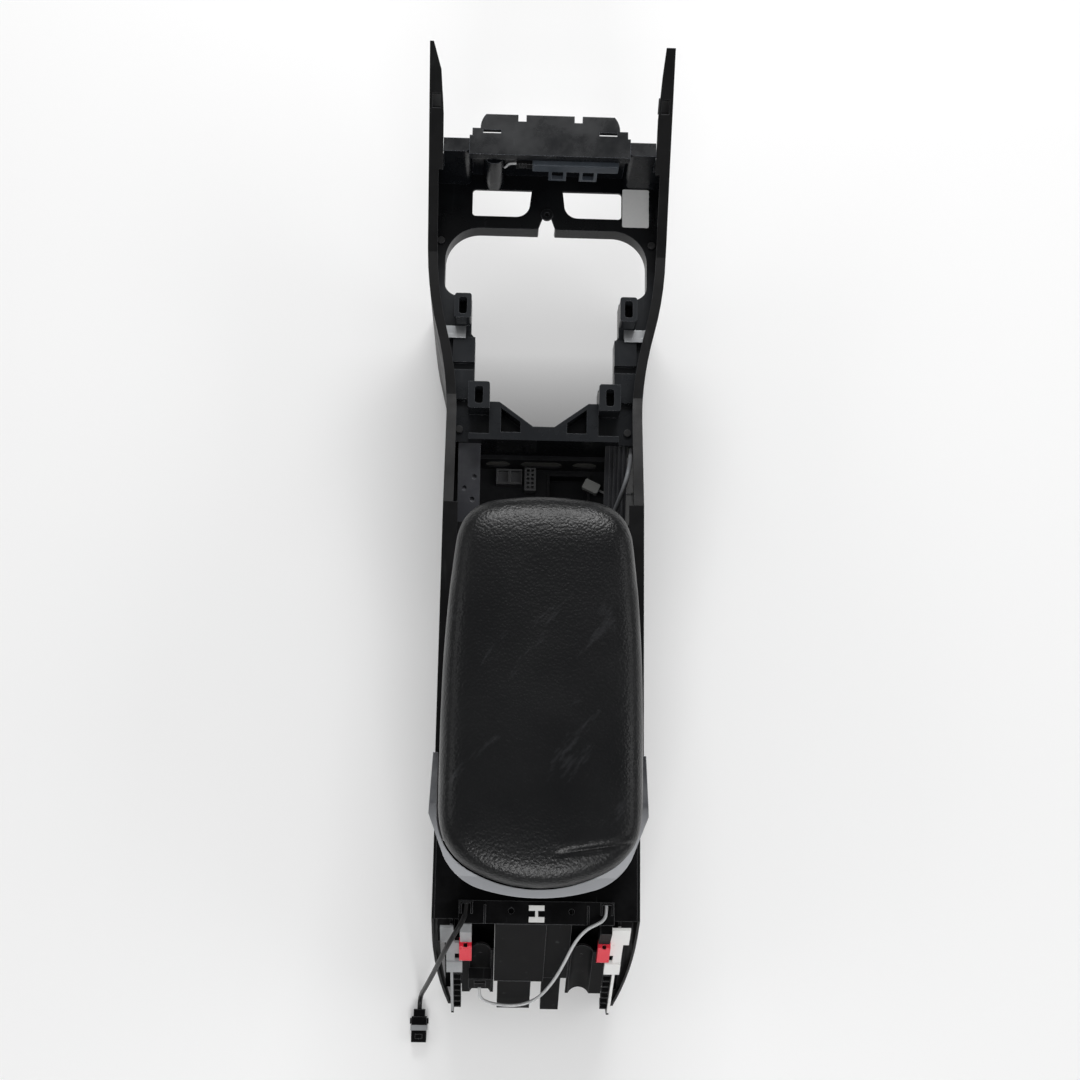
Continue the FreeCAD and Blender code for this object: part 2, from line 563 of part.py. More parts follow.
def deck_spring_clips():
    low = "throat_y - clip_back"
    hook = f"{low} - clip_hook"
    sheet = [
        (low, "deck_z"), (f"{low} + clip_length", "deck_z"), (f"{low} + clip_length", "deck_z + clip_sheet"),
        (f"{low} + clip_sheet", "deck_z + clip_sheet"), (f"{low} + clip_sheet", "deck_z + clip_rise"),
        (hook, "deck_z + clip_rise"), (hook, "deck_z + clip_rise - clip_sheet"),
        (low, "deck_z + clip_rise - clip_sheet"),
    ]
    start = "(front_half + body_half) / 2 - wall - clip_margin - clip_width"
    group("deck_spring_clips",
          extrusion("right_spring_clip", "YZ", start, "clip_width", sheet),
          extrusion("left_spring_clip", "YZ", f"-({start}) - clip_width", "clip_width", sheet))


# front bridge between the two arms

def front_bridge():
    body = new_body("front_bridge")
    rear = "deck_front - block_back"
    outer = "front_half - flange - fit_gap"
    low_outer = "front_half - wall - fit_gap"
    wall_front = f"{rear} + block_depth"

    def block(side_x):
        return [("bridge_inner + block_round", rear), (side_x, rear), (side_x, wall_front),
                ("bridge_inner", wall_front), ("bridge_inner", f"{rear} + block_round", "out", "block_round")]

    bar_rear = "deck_front - bar_back"
    inner_end = "bridge_inner + bridge_shell"
    pad(body, "XY", "deck_z", "bridge_top - deck_z - bar_height",
        rect(f"-({inner_end})", f"{wall_front} - bridge_shell", inner_end, wall_front))
    pad(body, "XY", "deck_z", "block_shoulder", *both(block(low_outer)))
    pad(body, "XY", "deck_z", "bridge_top - deck_z - block_drop", *both(block(outer)))
    pad(body, "XY", "bridge_top - bar_height", "bar_height",
        rect(f"-({inner_end})", bar_rear, inner_end, f"{bar_rear} + bar_depth"))
    base = f"{bar_rear} + bar_depth"
    crest = f"{base} + tab_reach"
    dip = f"{base} + tab_reach - tab_dip"
    half = [
        ("bridge_inner", base), ("bridge_inner", f"{base} + tab_reach / 3"),
        ("side_tab_outer + tab_shoulder", f"{base} + tab_reach / 3", "out", "tab_reach"),
        ("side_tab_outer", crest), ("side_tab_inner", crest), ("side_tab_inner", dip),
        ("center_tab_half", dip), ("center_tab_half", crest),
    ]
    pad(body, "XY", "bridge_top - tab_thick", "tab_thick", half + mirror(half))
    pad(body, "XY", "deck_z", "tower_top - deck_z",
        ("circle", "-tower_x", f"{wall_front} - tower_radius + 1", "tower_radius"))
    deep = f"{rear} + bridge_shell"
    hollow = [("bridge_inner + block_round", deep), (f"{outer} - bridge_shell", deep),
              (f"{outer} - bridge_shell", f"{wall_front} + 1"), (inner_end, f"{wall_front} + 1"),
              (inner_end, f"{rear} + block_round", "out", "block_round - bridge_shell")]
    pocket(body, "XY", "deck_z - 1", "bridge_top - deck_z - 1 - bridge_shell", *both(hollow))
    slot = rect("bridge_slot_inner", f"{base} + bridge_shell", "bridge_slot_inner + bridge_slot_length",
                f"{base} + bridge_shell + bridge_slot_width")
    pocket(body, "XY", "bridge_top - tab_thick - 1", "tab_thick + 2", *both(slot))
    pocket(body, "XY", "tower_top - tower_bore", "tower_bore + 1",
           ("circle", "-tower_x", f"{wall_front} - tower_radius + 1", "screw_radius + screw_play"))


MODULE_REAR = "deck_front - bar_back - module_overhang"
MODULE_TOP = "bridge_top - bar_height - module_drop"


def bridge_module():
    body = new_body("bridge_module")
    floor = f"{MODULE_TOP} - module_height"
    front = f"{MODULE_REAR} + module_depth"
    pad(body, "XY", floor, "module_height", rect("-module_left", MODULE_REAR, "module_right", front))
    soften(body, "module_round", lambda edge: True)
    hooks = [rect(x, f"{front} - hook_depth", f"{x} + hook_width", front)
             for x in ("hook_inset", "module_right - hook_width - hook_inset")]
    pad(body, "XY", f"{MODULE_TOP} - 1", "module_drop + 1", *hooks)
    for x in ("0", "clip_foot_x"):
        foot = rect(x, f"{floor} - clip_foot_drop", f"{x} + clip_foot_width", f"{floor} + 1")
        hole = rect(f"{x} + clip_foot_wall", f"{floor} - clip_foot_drop + clip_foot_wall",
                    f"{x} + clip_foot_width - clip_foot_wall", f"{floor} - clip_foot_wall")
        pad(body, "XZ", f"{MODULE_REAR} + clip_foot_back", "clip_foot_thick", foot)
        pocket(body, "XZ", f"{MODULE_REAR} + clip_foot_back - 1", "clip_foot_thick + 2", hole)


def module_plug():
    body = new_body("module_plug")
    low = f"{MODULE_REAR} + plug_inset"
    floor = f"{MODULE_TOP} - module_height + plug_lift"
    left = "-module_left - plug_length"
    pad(body, "XY", floor, "plug_height", rect(left, low, "-module_left", f"{low} + plug_depth"))
    grooves = []
    for step in (1, 2, 3):
        start = f"{left} + 2 * {step} * plug_groove"
        grooves.append(rect(start, low, f"{start} + plug_groove", f"{low} + plug_groove / 2"))
    pocket(body, "XY", f"{floor} - 1", "plug_height + 2", *grooves)


# storage bin under the armrest, with a socket panel and guide rails in front of it

BIN_SCREWS = [(x, y) for x in ("bin_screw_x", "-bin_screw_x") for y in ("-bin_lug_front", "-bin_lug_rear")]


def bin_tub():
    body = new_body("bin_tub")
    rim_half = "body_half - wall - fit_gap - rim_margin"
    inner = round_rect("-bin_half + bin_wall", "-bin_rear + bin_wall", "bin_half - bin_wall",
                       "bin_front - bin_wall", "(bin_round - bin_wall)")
    pad(body, "XY", "bin_floor_z", "rim_z - bin_floor_z",
        round_rect("-bin_half", "-bin_rear", "bin_half", "bin_front", "bin_round"))
    pad(body, "XY", "rim_z - rim_thick", "rim_thick",
        rect(f"-({rim_half})", "-bin_rear + bin_round", rim_half, "bin_front"))
    pocket(body, "XY", "bin_floor_z + bin_wall", "rim_z - bin_floor_z", inner)
    pocket(body, "XY", "rim_z - rim_thick - 1", "rim_thick + 2",
           *(("circle", x, y, "screw_radius + screw_play") for x, y in BIN_SCREWS))


def socket_panel():
    body = new_body("socket_panel")
    under = "deck_z - cross_drop"
    wall_y = "beam_rear - panel_lip + cross_wall"
    foot_y = f"{wall_y} - panel_lean"
    fold = [
        ("bin_front + fit_gap", "panel_floor_z - sheet_thick"),
        (f"{foot_y} + sheet_thick - fit_gap", "panel_floor_z - sheet_thick"),
        (f"{wall_y} + sheet_thick - fit_gap", f"{under} - sheet_thick"),
        ("beam_rear + cross_wall", f"{under} - sheet_thick"), ("beam_rear + cross_wall", under),
        (wall_y, under), (foot_y, "panel_floor_z"), ("bin_front + fit_gap", "panel_floor_z"),
    ]
    pad(body, "YZ", "-panel_half", "2 * panel_half", fold)
    low = "slot_z - slot_radius"
    pocket(body, "XZ", f"{foot_y} - 1", "panel_lean / 2 + slot_depth + 1",
           obround("slot_inner", low, "slot_outer", "slot_radius"),
           obround("-slot_outer", low, "-slot_inner", "slot_radius"),
           obround("-slot_center_half", low, "slot_center_half", "slot_radius"))
    pad(body, "XY", "panel_floor_z - frame_well", "frame_well + frame_rise",
        rect("frame_left", "frame_front - frame_depth", "frame_right", "frame_front"))
    pocket(body, "XY", "panel_floor_z - frame_well + sheet_thick", "frame_well + frame_rise",
           rect("frame_left + frame_rim", "frame_front - frame_depth + frame_rim",
                "frame_right - frame_rim", "frame_front - frame_rim"))


def socket_block():
    body = new_body("socket_block")
    rear = "socket_front - socket_depth"
    middle = "(socket_left + socket_right) / 2"
    pad(body, "XY", "panel_floor_z", "socket_rise", rect("-socket_left", rear, "-socket_right", "socket_front"))
    wells = []
    for left, right in (("socket_left", middle), (middle, "socket_right")):
        wells.append(rect(f"-({left}) + socket_rim", f"{rear} + socket_rim", f"-({right}) - socket_rim / 2",
                          "socket_front - socket_rim"))
    pocket(body, "XY", "panel_floor_z + socket_rim", "socket_rise", *wells)


def connector_strip():
    body = new_body("connector_strip")
    left = "-strip_right - strip_width"
    pad(body, "XY", "panel_floor_z", "strip_rise", rect(left, "strip_rear", "-strip_right", "socket_front"))
    pins = []
    for row in range(SIZES["pin_rows"]):
        low = f"strip_rear + pin_margin + {row} * (pin_size + pin_gap)"
        for start in (f"{left} + pin_margin", "-strip_right - pin_margin - pin_size"):
            pins.append(rect(start, low, f"{start} + pin_size", f"{low} + pin_size"))
    pocket(body, "XY", "panel_floor_z + strip_rise - pin_depth", "pin_depth + 1", *pins)


# rivets of the left rail: to the right of its middle, and in front of the bin
RIVETS = ((6, 68), (-5, 56), (4, 44))


def guide_rail(label, side):
    body = new_body(label)
    front, rear = "beam_rear", "bin_front + fit_gap"

    def sheet(depth):
        return [(rear, f"rail_rear_z - {depth}"), (front, f"rail_front_z - {depth}"), (front, "rail_front_z"),
                (rear, "rail_rear_z")]

    def from_side(inner, outer):
        return inner if side > 0 else f"-({outer})"

    pad(body, "YZ", from_side("rail_inner", "rail_outer"), "rail_outer - rail_inner", sheet("rail_thick"))
    pad(body, "YZ", from_side("rail_outer - rail_thick", "rail_outer"), "rail_thick", sheet("rail_skirt"))
    if side > 0:
        rib = [(rear, "rail_rear_z - 1"), (front, "rail_front_z - 1"), (front, "rail_front_z + rail_rib"),
               (rear, "rail_rear_z + rail_rib")]
        for step in (1, 2, 3, 4):
            pad(body, "YZ", f"rail_inner + {step} * rail_pitch", "rail_rib", rib)
        return
    middle = "-(rail_inner + rail_outer) / 2"
    for x, y in RIVETS:
        surface = f"rail_rear_z + {y} * (rail_front_z - rail_rear_z) / (beam_rear - bin_front)"
        pocket(body, "XY", f"{surface} - rivet_depth", "2 * rivet_depth + rivet_hole",
               ("circle", f"{middle} + {x}", f"bin_front + {y}", "rivet_hole"))


# rear frame behind the bin: a folded shelf, two cheeks with feet, a cross wall and comb ribs

HINGE_SCREWS = [(x, y) for x in ("hinge_screw_x", "-hinge_screw_x")
                for y in ("-hinge_foot_front - hinge_screw_inset", "-hinge_foot_rear + hinge_screw_inset")]


def strip(top, foot, out, depth):
    return [
        (on_slope(foot, f"{out} + {depth}"), foot), (on_slope(foot, out), foot),
        (on_slope(top, out), top), (on_slope(top, f"{out} + {depth}"), top),
    ]


def rear_frame():
    body = new_body("rear_frame")
    low = "shelf_z - shelf_thick"
    fold = [
        ("-riser_y - shelf_thick", low), ("-shelf_front", low), ("-shelf_front", "shelf_z"),
        ("-riser_y", "shelf_z"), ("-riser_y", "plate_z"), ("-plate_rear", "plate_z"),
        ("-plate_rear", "plate_z - lip_drop"), ("-plate_rear + shelf_thick", "plate_z - lip_drop"),
        ("-plate_rear + shelf_thick", "plate_z - shelf_thick"),
        ("-riser_y - shelf_thick", "plate_z - shelf_thick"),
    ]
    pad(body, "YZ", "-plate_half", "2 * plate_half", fold)
    wing = rect("plate_half - 1", "-rear_top", "body_half - wall - fit_gap", "-shelf_front")
    pad(body, "XY", low, "shelf_thick", *both(wing))
    cheek = [
        ("-(rear_end - toe_back)", "0"), ("-cheek_foot", "0"), ("-cheek_front", "cheek_knee"),
        ("-cheek_front", "shelf_z - 1"), ("-riser_y - shelf_thick + 1", "shelf_z - 1"),
        (on_slope("shelf_z - cheek_drop"), "shelf_z - cheek_drop"),
        ("-rear_end", "toe_z"),
    ]
    for start in ("cheek_x", "-cheek_x - cheek_thick"):
        pad(body, "YZ", start, "cheek_thick", cheek)
    window = [("-cheek_foot - window_foot", "window_floor"), ("-cheek_foot - window_front", "window_floor"),
              ("-cheek_foot - window_front", "window_top"),
              (on_slope("window_top", "-window_in"), "window_top")]
    pocket(body, "YZ", "-cheek_x - cheek_thick - 1", "2 * (cheek_x + cheek_thick + 1)", window)
    pad(body, "XY", "cross_floor", "shelf_z - cross_floor",
        rect("-cheek_x - 1", "-riser_y - shelf_thick", "cheek_x + 1", "-riser_y"))
    for top, foot, outer in (("web_top", "web_knee - 1", "web_top_x"), ("web_knee", "web_foot", "web_low_x")):
        web = strip(top, foot, "-web_back", "web_thick")
        pad(body, "YZ", "cheek_x + 1", f"{outer} - cheek_x - 1", web)
        pad(body, "YZ", f"-{outer}", f"{outer} - cheek_x - 1", web)
    foot = rect("foot_inner", "-foot_rear", "cheek_x + 1", "-foot_rear + foot_length")
    pad(body, "XY", "0", "foot_thick", *both(foot))
    for step in range(SIZES["comb_count"]):
        height = f"comb_floor + {step} * comb_pitch"
        edge = f"{on_slope(height)} + comb_in"
        tooth = [(edge, height), (f"{edge} + comb_depth", height),
                 (f"{edge} + comb_depth", f"{height} + comb_thick"), (f"{edge} + 1", f"{height} + comb_thick")]
        for start in ("cheek_x - comb_reach", "-cheek_x - 1"):
            pad(body, "YZ", start, "comb_reach + 1", tooth)
    pocket(body, "XY", "-1", "foot_thick + 2", ("circle", "bolt_x", "-bolt_y", "bolt_hole"),
           ("circle", "-bolt_x", "-bolt_y", "bolt_hole"))
    catch = rect("catch_x - catch_size / 2", "-riser_y - catch_size", "catch_x + catch_size / 2",
                 "-riser_y - 1")
    well = rect("catch_x - catch_size / 2 + catch_wall", "-riser_y - catch_size - 1",
                "catch_x + catch_size / 2 - catch_wall", "-riser_y - 1 - catch_wall")
    pad(body, "XY", "plate_z - 1", "catch_rise + 1", *both(catch))
    pocket(body, "XY", "plate_z", "catch_rise + 1", *both(well))
    rib = rect("plate_rib_x", "-plate_rear", "plate_rib_x + plate_rib", "-riser_y - 2 * plate_rib")
    pad(body, "XY", "plate_z - 1", "plate_rib + 1", *both(rib))
    pocket(body, "XZ", "-plate_rear - 1", "shelf_thick + 2",
           rect("-duct_left - fit_gap", "plate_z - lip_drop - 1", "duct_right + fit_gap",
                "plate_z - shelf_thick"))
    pocket(body, "XY", "shelf_z - shelf_thick - 1", "shelf_thick + 2",
           *(("circle", x, y, "screw_radius + pilot_play") for x, y in HINGE_SCREWS))
    pocket(body, "XY", "plate_z - shelf_thick - 1", "shelf_thick + 2",
           ("circle", "-left_hole_x", "-riser_y - plate_hole_back", "plate_hole"),
           ("circle", "right_hole_x", "-riser_y - plate_hole_back", "plate_hole"))


def rear_duct():
    body = new_body("rear_duct")
    front = "-riser_y - shelf_thick - fit_gap"
    def box_profile(inset, step):
        top = f"plate_z - shelf_thick - fit_gap - {inset}"
        out = f"duct_back - ({step}) - ({inset})"
        return [(f"{front} - {inset}", "duct_floor"), (f"{front} - {inset}", top), (on_slope(top, out), top),
                (on_slope("duct_floor", out), "duct_floor")]
    pad(body, "YZ", "-duct_left", "duct_left + duct_step_x", back(box_profile("0", "0")))
    pad(body, "YZ", "duct_step_x - 1", "duct_right - duct_step_x + 1", back(box_profile("0", "duct_step")))
    edge = on_slope("duct_floor", "duct_back")
    spout = [(f"{on_slope('spout_floor', 'duct_back')}", "spout_floor"),
             (f"{on_slope('spout_floor', 'duct_back')} + spout_depth", "spout_floor"),
             (f"{edge} + spout_depth", "duct_floor + 1"), (edge, "duct_floor + 1")]
    pad(body, "YZ", "-spout_left", "spout_left - spout_right", spout)
    tongue_edge = f"{on_slope('tongue_floor', 'duct_back')} + tongue_in"
    tongue = [(tongue_edge, "tongue_floor"), (f"{tongue_edge} + tongue_depth", "tongue_floor"),
              (f"{edge} + tongue_lean + tongue_depth", "duct_floor + 1"),
              (f"{edge} + tongue_lean", "duct_floor + 1")]
    pad(body, "YZ", "tongue_left", "tongue_right - tongue_left", tongue)
    hollow = back(box_profile("duct_wall", "duct_step"))
    hollow = [(y, z if z != "duct_floor" else "duct_floor - 1") for y, z in hollow]
    pocket(body, "YZ", "-duct_left + duct_wall", "duct_left - duct_wall + duct_right - duct_wall", hollow)
    inside = "duct_back - duct_wall"
    mouth = on_slope("spout_floor - 1", inside)
    neck = on_slope("duct_floor + 2", inside)
    throat = [(mouth, "spout_floor - 1"), (f"{mouth} + spout_depth - 2 * duct_wall", "spout_floor - 1"),
              (f"{neck} + spout_depth - 2 * duct_wall", "duct_floor + 2"), (neck, "duct_floor + 2")]
    pocket(body, "YZ", "-spout_left + duct_wall", "spout_left - spout_right - 2 * duct_wall", throat)


def slanted(name, top, height, path):
    sketch = doc.addObject("Sketcher::SketchObject", name + "_sketch")
    sketch.setExpression("Placement.Base.z", ref(top))
    draw(sketch, path)
    solid = doc.addObject("Part::Extrusion", name)
    solid.Base = sketch
    solid.DirMode = "Custom"
    solid.Dir = FreeCAD.Vector(0, 0, -1)
    solid.setExpression("Dir.y", ref(f"-{LEAN}"))
    solid.setExpression("LengthFwd", ref(f"({height}) * sqrt(1 + ({LEAN})^2)"))
    solid.Solid = True
    return solid


def outlet_channel(label, side):
    duct_side = "duct_right" if side > 0 else "duct_left"
    center = f"{duct_side} + channel_radius"
    inner = f"{duct_side} + fit_gap"
    outer = "cheek_x - fit_gap"
    line = on_slope("channel_top")
    rear, step = f"{line} + groove_in", f"{line} + wing_in"
    bend = bow("groove_half", "groove_rise")
    face = [
        (inner, rear), (f"{center} - groove_half", rear, "in", bend), (f"{center} + groove_half", rear),
        ("wing_x", rear), ("wing_x", step), (outer, step), (outer, f"{step} + channel_wall"),
        ("wing_x - channel_wall", f"{step} + channel_wall"),
        ("wing_x - channel_wall", f"{rear} + channel_wall"),
        (f"{center} + groove_half", f"{rear} + channel_wall", "out", bend),
        (f"{center} - groove_half", f"{rear} + channel_wall"), (inner, f"{rear} + channel_wall"),
    ]
    ledge = rect(inner, f"{on_slope('channel_ledge')} + groove_in + groove_rise + channel_wall / 2", outer,
                 "-riser_y - shelf_thick - fit_gap")
    if side < 0:
        face, ledge = mirror(face), mirror(ledge)
    keep(label, fuse(label, slanted(label + "_face", "channel_top", "channel_top - channel_floor", face),
                     extrusion(label + "_ledge", "XY", "channel_ledge", "channel_wall", ledge)))


def rear_bracket(label, side):
    body = new_body(label)
    def slab(inner, outer, top, foot, out, depth):
        start = inner if side > 0 else f"-({outer})"
        pad(body, "YZ", start, f"{outer} - ({inner})", strip(top, foot, out, depth))
    inner = "bracket_inner" if side > 0 else "bracket_inner + left_step"
    waist, foot, off, thick = "bracket_waist", "bracket_foot", "bracket_off", "bracket_thick"
    slab(inner, "bracket_outer", "bracket_top", waist, off, thick)
    slab("strap_inner", "strap_outer", f"{waist} + 1", foot, off, thick)
    slab("backing_inner", "strap_inner + 1", f"{waist} - 1", "backing_foot", off, thick)
    slab("hasp_inner", "strap_outer", "hasp_top", foot, off, "hasp_depth")
    slab("cheek_x", "cheek_x + cheek_thick", "bracket_top - rib_drop", "rib_foot", "rib_off", f"{off} + fit_gap")


def rear_post(label, side):
    body = new_body(label)
    out = "bracket_off"
    post = [
        (on_slope("post_foot", f"{out} + post_depth"), "post_foot"), (on_slope("post_foot", out), "post_foot"),
        ("-plate_rear - fit_gap", "shelf_z"), ("-plate_rear - fit_gap", "plate_z - 1"),
        ("-plate_rear - post_depth", "plate_z - 1"),
    ]
    pad(body, "YZ", "post_inner" if side > 0 else "-post_outer", "post_outer - post_inner", post)


def red_clip(label, side):
    body = new_body(label)
    def from_side(inner, outer):
        return inner if side > 0 else f"-({outer})"
    out = "bracket_off + bracket_thick"
    face = f"{out} + red_depth"
    block = [
        (on_slope("red_foot", f"{out} + red_depth / 2"), "red_foot"), (on_slope("red_foot", out), "red_foot"),
        (on_slope("red_top", out), "red_top"), (on_slope("red_top", face), "red_top"),
        (on_slope("red_foot + red_nose", face), "red_foot + red_nose"),
    ]
    pad(body, "YZ", from_side("red_inner", "red_outer"), "red_outer - red_inner", block)
    middle = f"{side} * (red_inner + red_outer) / 2"
    pocket(body, "XY", "red_foot - 1", "red_top - red_foot + 2",
           rect(f"{middle} - red_slot / 2", on_slope("red_top", f"{face} + 1"),
                f"{middle} + red_slot / 2", on_slope("red_top", f"{face} - red_slot_depth")))


def duct_h_clip():
    body = new_body("duct_h_clip")
    half = [
        ("tee_half", "-tee_rear"), ("tee_half", "-tee_rear + tee_bar"),
        ("tee_stem / 2", "-tee_rear + tee_bar"), ("tee_stem / 2", "-tee_front - tee_bar"),
        ("tee_half", "-tee_front - tee_bar"), ("tee_half", "-tee_front"),
    ]
    pad(body, "XY", "plate_z", "tee_thick", half + mirror(half))


# armrest: cushion, lower shell, liner and the hinge that carries them

REST_BACK = "(rest_rear - rest_side_rear)"
REST_TURN = f"(rest_rear_half + {REST_BACK}) / (rest_rear_half - {REST_BACK})"
REST_CORNER_DEPTH = f"((rest_half - rest_rear_half) * {REST_TURN})"
REST_CORNER = bow(REST_CORNER_DEPTH, "rest_half - rest_rear_half")
REST_FLANK = bow("rest_wide_y - rest_neck_y", "rest_half - rest_neck_half")


def rest_outline(inset):
    run = [
        (f"rest_rear_half - ({inset}) / 2", f"-rest_side_rear + ({inset})", "out", REST_CORNER),
        (f"rest_half - ({inset})", f"-rest_side_rear + {REST_CORNER_DEPTH}"),
        (f"rest_half - ({inset})", "-rest_wide_y", "out", REST_FLANK),
        (f"rest_neck_half - ({inset})", "-rest_neck_y", "out", "rest_front_corner"),
        (f"rest_front_half - ({inset}) / 2", f"rest_front - rest_crown - ({inset})"),
    ]
    left = mirror(run)
    run[-1] = run[-1] + ("out", bow("rest_front_half", "rest_crown"))
    left[-1] = left[-1][:2] + ("out", bow("rest_rear_half", "rest_rear - rest_side_rear"))
    return run + left


def armrest_cushion():
    body = new_body("armrest_cushion")
    pad(body, "XY", "seam_z", "rest_top - seam_z", rest_outline("0"))
    top = number("rest_top")
    soften(body, "rest_edge", lambda edge: level(edge, top))


def armrest_shell():
    body = new_body("armrest_shell")
    pad(body, "XY", "shell_floor", "seam_z - shell_floor", rest_outline("shell_inset"))
    depth = "seam_z - shell_floor + 1 - shell_wall"
    pocket(body, "XY", "shell_floor - 1", depth, rest_outline("shell_inset + shell_wall"))
    pocket(body, "XY", "shell_floor - 1", depth,
           rect("-hinge_gap_half", "-rest_rear - 1", "hinge_gap_half", "-rest_side_rear + hinge_gap_depth"))
    pocket(body, "XY", "seam_z - shell_wall - 1", "shell_wall + 2",
           *(("circle", x, y, "screw_radius + pilot_play") for x, y in LID_SCREWS))


def armrest_liner():
    body = new_body("armrest_liner")
    inset = "shell_inset + shell_wall + fit_gap"
    floor = "shell_floor + liner_up"
    pad(body, "XY", floor, "seam_z - shell_floor - shell_wall - liner_up", rest_outline(inset))
    pocket(body, "XY", f"{floor} + liner_thick", "seam_z - shell_floor", rest_outline(f"{inset} + liner_thick"))
    pocket(body, "XY", "shell_floor", "seam_z - shell_floor",
           rect("-rest_half", "-rest_rear", "rest_half", "-liner_rear"))


def hinge_bracket():
    body = new_body("hinge_bracket")
    top = "seam_z - shell_wall"
    inner = "ear_x - ear_gap - arm_thick"
    front, neck = "-liner_rear - 1", "-hinge_y + knuckle + arm_lead"
    pad(body, "XY", f"{top} - arm_plate", "arm_plate",
        rect(f"-({inner}) - arm_thick", neck, f"{inner} + arm_thick", front))
    arm = [
        ("-hinge_y", "hinge_z - knuckle"), ("-hinge_y + arm_heel", "hinge_z - knuckle"),
        (front, f"{top} - arm_lip"), (front, top), (neck, top), ("-hinge_y", "hinge_z + knuckle"),
    ]
    for start in (inner, "-ear_x + ear_gap"):
        pad(body, "YZ", start, "arm_thick", arm)
        pad(body, "YZ", start, "arm_thick", ("circle", "-hinge_y", "hinge_z", "knuckle"))
    pocket(body, "YZ", "-ear_x", "2 * ear_x", ("circle", "-hinge_y", "hinge_z", "pin_radius + pin_clearance"))
    pocket(body, "XY", f"{top} - arm_plate - 1", "arm_plate + 2",
           *(("circle", x, y, "screw_radius + screw_play") for x, y in LID_SCREWS))


def hinge_base():
    body = new_body("hinge_base")
    pad(body, "XY", "shelf_z", "hinge_foot",
        rect("-hinge_foot_half", "-hinge_foot_rear", "hinge_foot_half", "-hinge_foot_front"))
    ear = [
        ("-hinge_y - knuckle", "shelf_z + 1"), ("-hinge_foot_front", "shelf_z + 1"),
        ("-hinge_foot_front", "shelf_z + ear_toe"), ("-hinge_y + knuckle", "hinge_z"),
        ("-hinge_y - knuckle", "hinge_z"),
    ]
    for start in ("ear_x", "-ear_x - ear_thick"):
        pad(body, "YZ", start, "ear_thick", ear)
        pad(body, "YZ", start, "ear_thick", ("circle", "-hinge_y", "hinge_z", "knuckle"))
    pocket(body, "YZ", "-ear_x - ear_thick - 1", "2 * (ear_x + ear_thick + 1)",
           ("circle", "-hinge_y", "hinge_z", "pin_radius + pin_clearance / 2"))
    pocket(body, "XY", "shelf_z - 1", "hinge_foot + 2",
           rect("-hinge_relief", "-hinge_foot_rear + hinge_relief_inset", "hinge_relief",
                "-hinge_foot_front - hinge_relief_inset"),
           *(("circle", x, y, "screw_radius + screw_play") for x, y in HINGE_SCREWS))


LID_SCREWS = [(f"{share} * lid_screw_x", "-lid_screw_y") for share in ("1", "1 / 3", "-1 / 3", "-1")]


def lid_screws():
    under = "seam_z - shell_wall - arm_plate"
    length = "arm_plate + shell_wall - fit_gap"
    screws = []
    for index, (x, y) in enumerate(LID_SCREWS):
        shank = cylinder(f"lid_screw_{index}_shank", "screw_radius", length, x, y, under)
        head = cylinder(f"lid_screw_{index}_head", "screw_head", "screw_head_height", x, y,
                        f"{under} - screw_head_height")
        screws.append(fuse(f"lid_screw_{index}", shank, head))
    group("lid_screws", *screws)


def hinge_pin():
    along = FreeCAD.Rotation(FreeCAD.Vector(0, 1, 0), 90)
    end = "(ear_x + ear_thick + pin_over)"
    rod = cylinder("hinge_pin_rod", "pin_radius", f"2 * {end}", f"-{end}", "-hinge_y", "hinge_z", along)
    caps = []
    for index, start in enumerate((end, f"-{end} - pin_head_thick")):
        caps.append(cylinder(f"hinge_pin_head_{index}", "pin_radius + pin_head", "pin_head_thick", start,
                             "-hinge_y", "hinge_z", along))
    keep("hinge_pin", fuse("hinge_pin", rod, *caps))


def lid_bumpers():
    height = "shell_floor - fit_gap - rim_z"
    places = ("bin_half + bumper_radius / 3", "-bin_half - bumper_radius / 3")
    group("lid_bumpers", *(cylinder(f"lid_bumper_{index}", "bumper_radius", height, x, "-bumper_y", "rim_z")
                           for index, x in enumerate(places)))


def armrest_trim():
    body = new_body("armrest_trim")
    outer = [
        ("trim_rear_half", "-trim_side_rear", "out", "trim_corner"), ("trim_corner_half", "-trim_corner_y"),
        ("trim_half", "-trim_wide_y"), ("trim_ear_half", "-trim_front"),
    ]
    left = mirror(outer)
    left[-1] = left[-1][:2] + ("out", bow("trim_rear_half", "trim_rear - trim_side_rear"))
    inner = [
        ("rest_rear_half", "-rest_side_rear - trim_gap", "out", f"{REST_CORNER} + trim_gap"),
        ("rest_half + trim_gap", f"-rest_side_rear + {REST_CORNER_DEPTH}"),
        ("rest_half + trim_gap", "-trim_front"),
    ]
    inner_left = mirror(inner)
    inner_left[-1] = inner_left[-1][:2] + ("out", bow("rest_rear_half", "rest_rear - rest_side_rear"))
    pad(body, "XY", "shelf_z", "trim_ear_z - shelf_z", left + outer + back(inner_left + inner))
    behind, above = "-trim_rear - 1", "trim_ear_z + 1"
    slope = [
        (behind, "trim_rear_z"), ("-trim_slope_rear", "trim_rear_z"), ("-trim_slope_front", "trim_ear_z"),
        ("-trim_slope_front", above), (behind, above),
    ]
    pocket(body, "YZ", "-trim_half - 1", "2 * (trim_half + 1)", slope)


# leads

CORNER_SHARE = 0.45


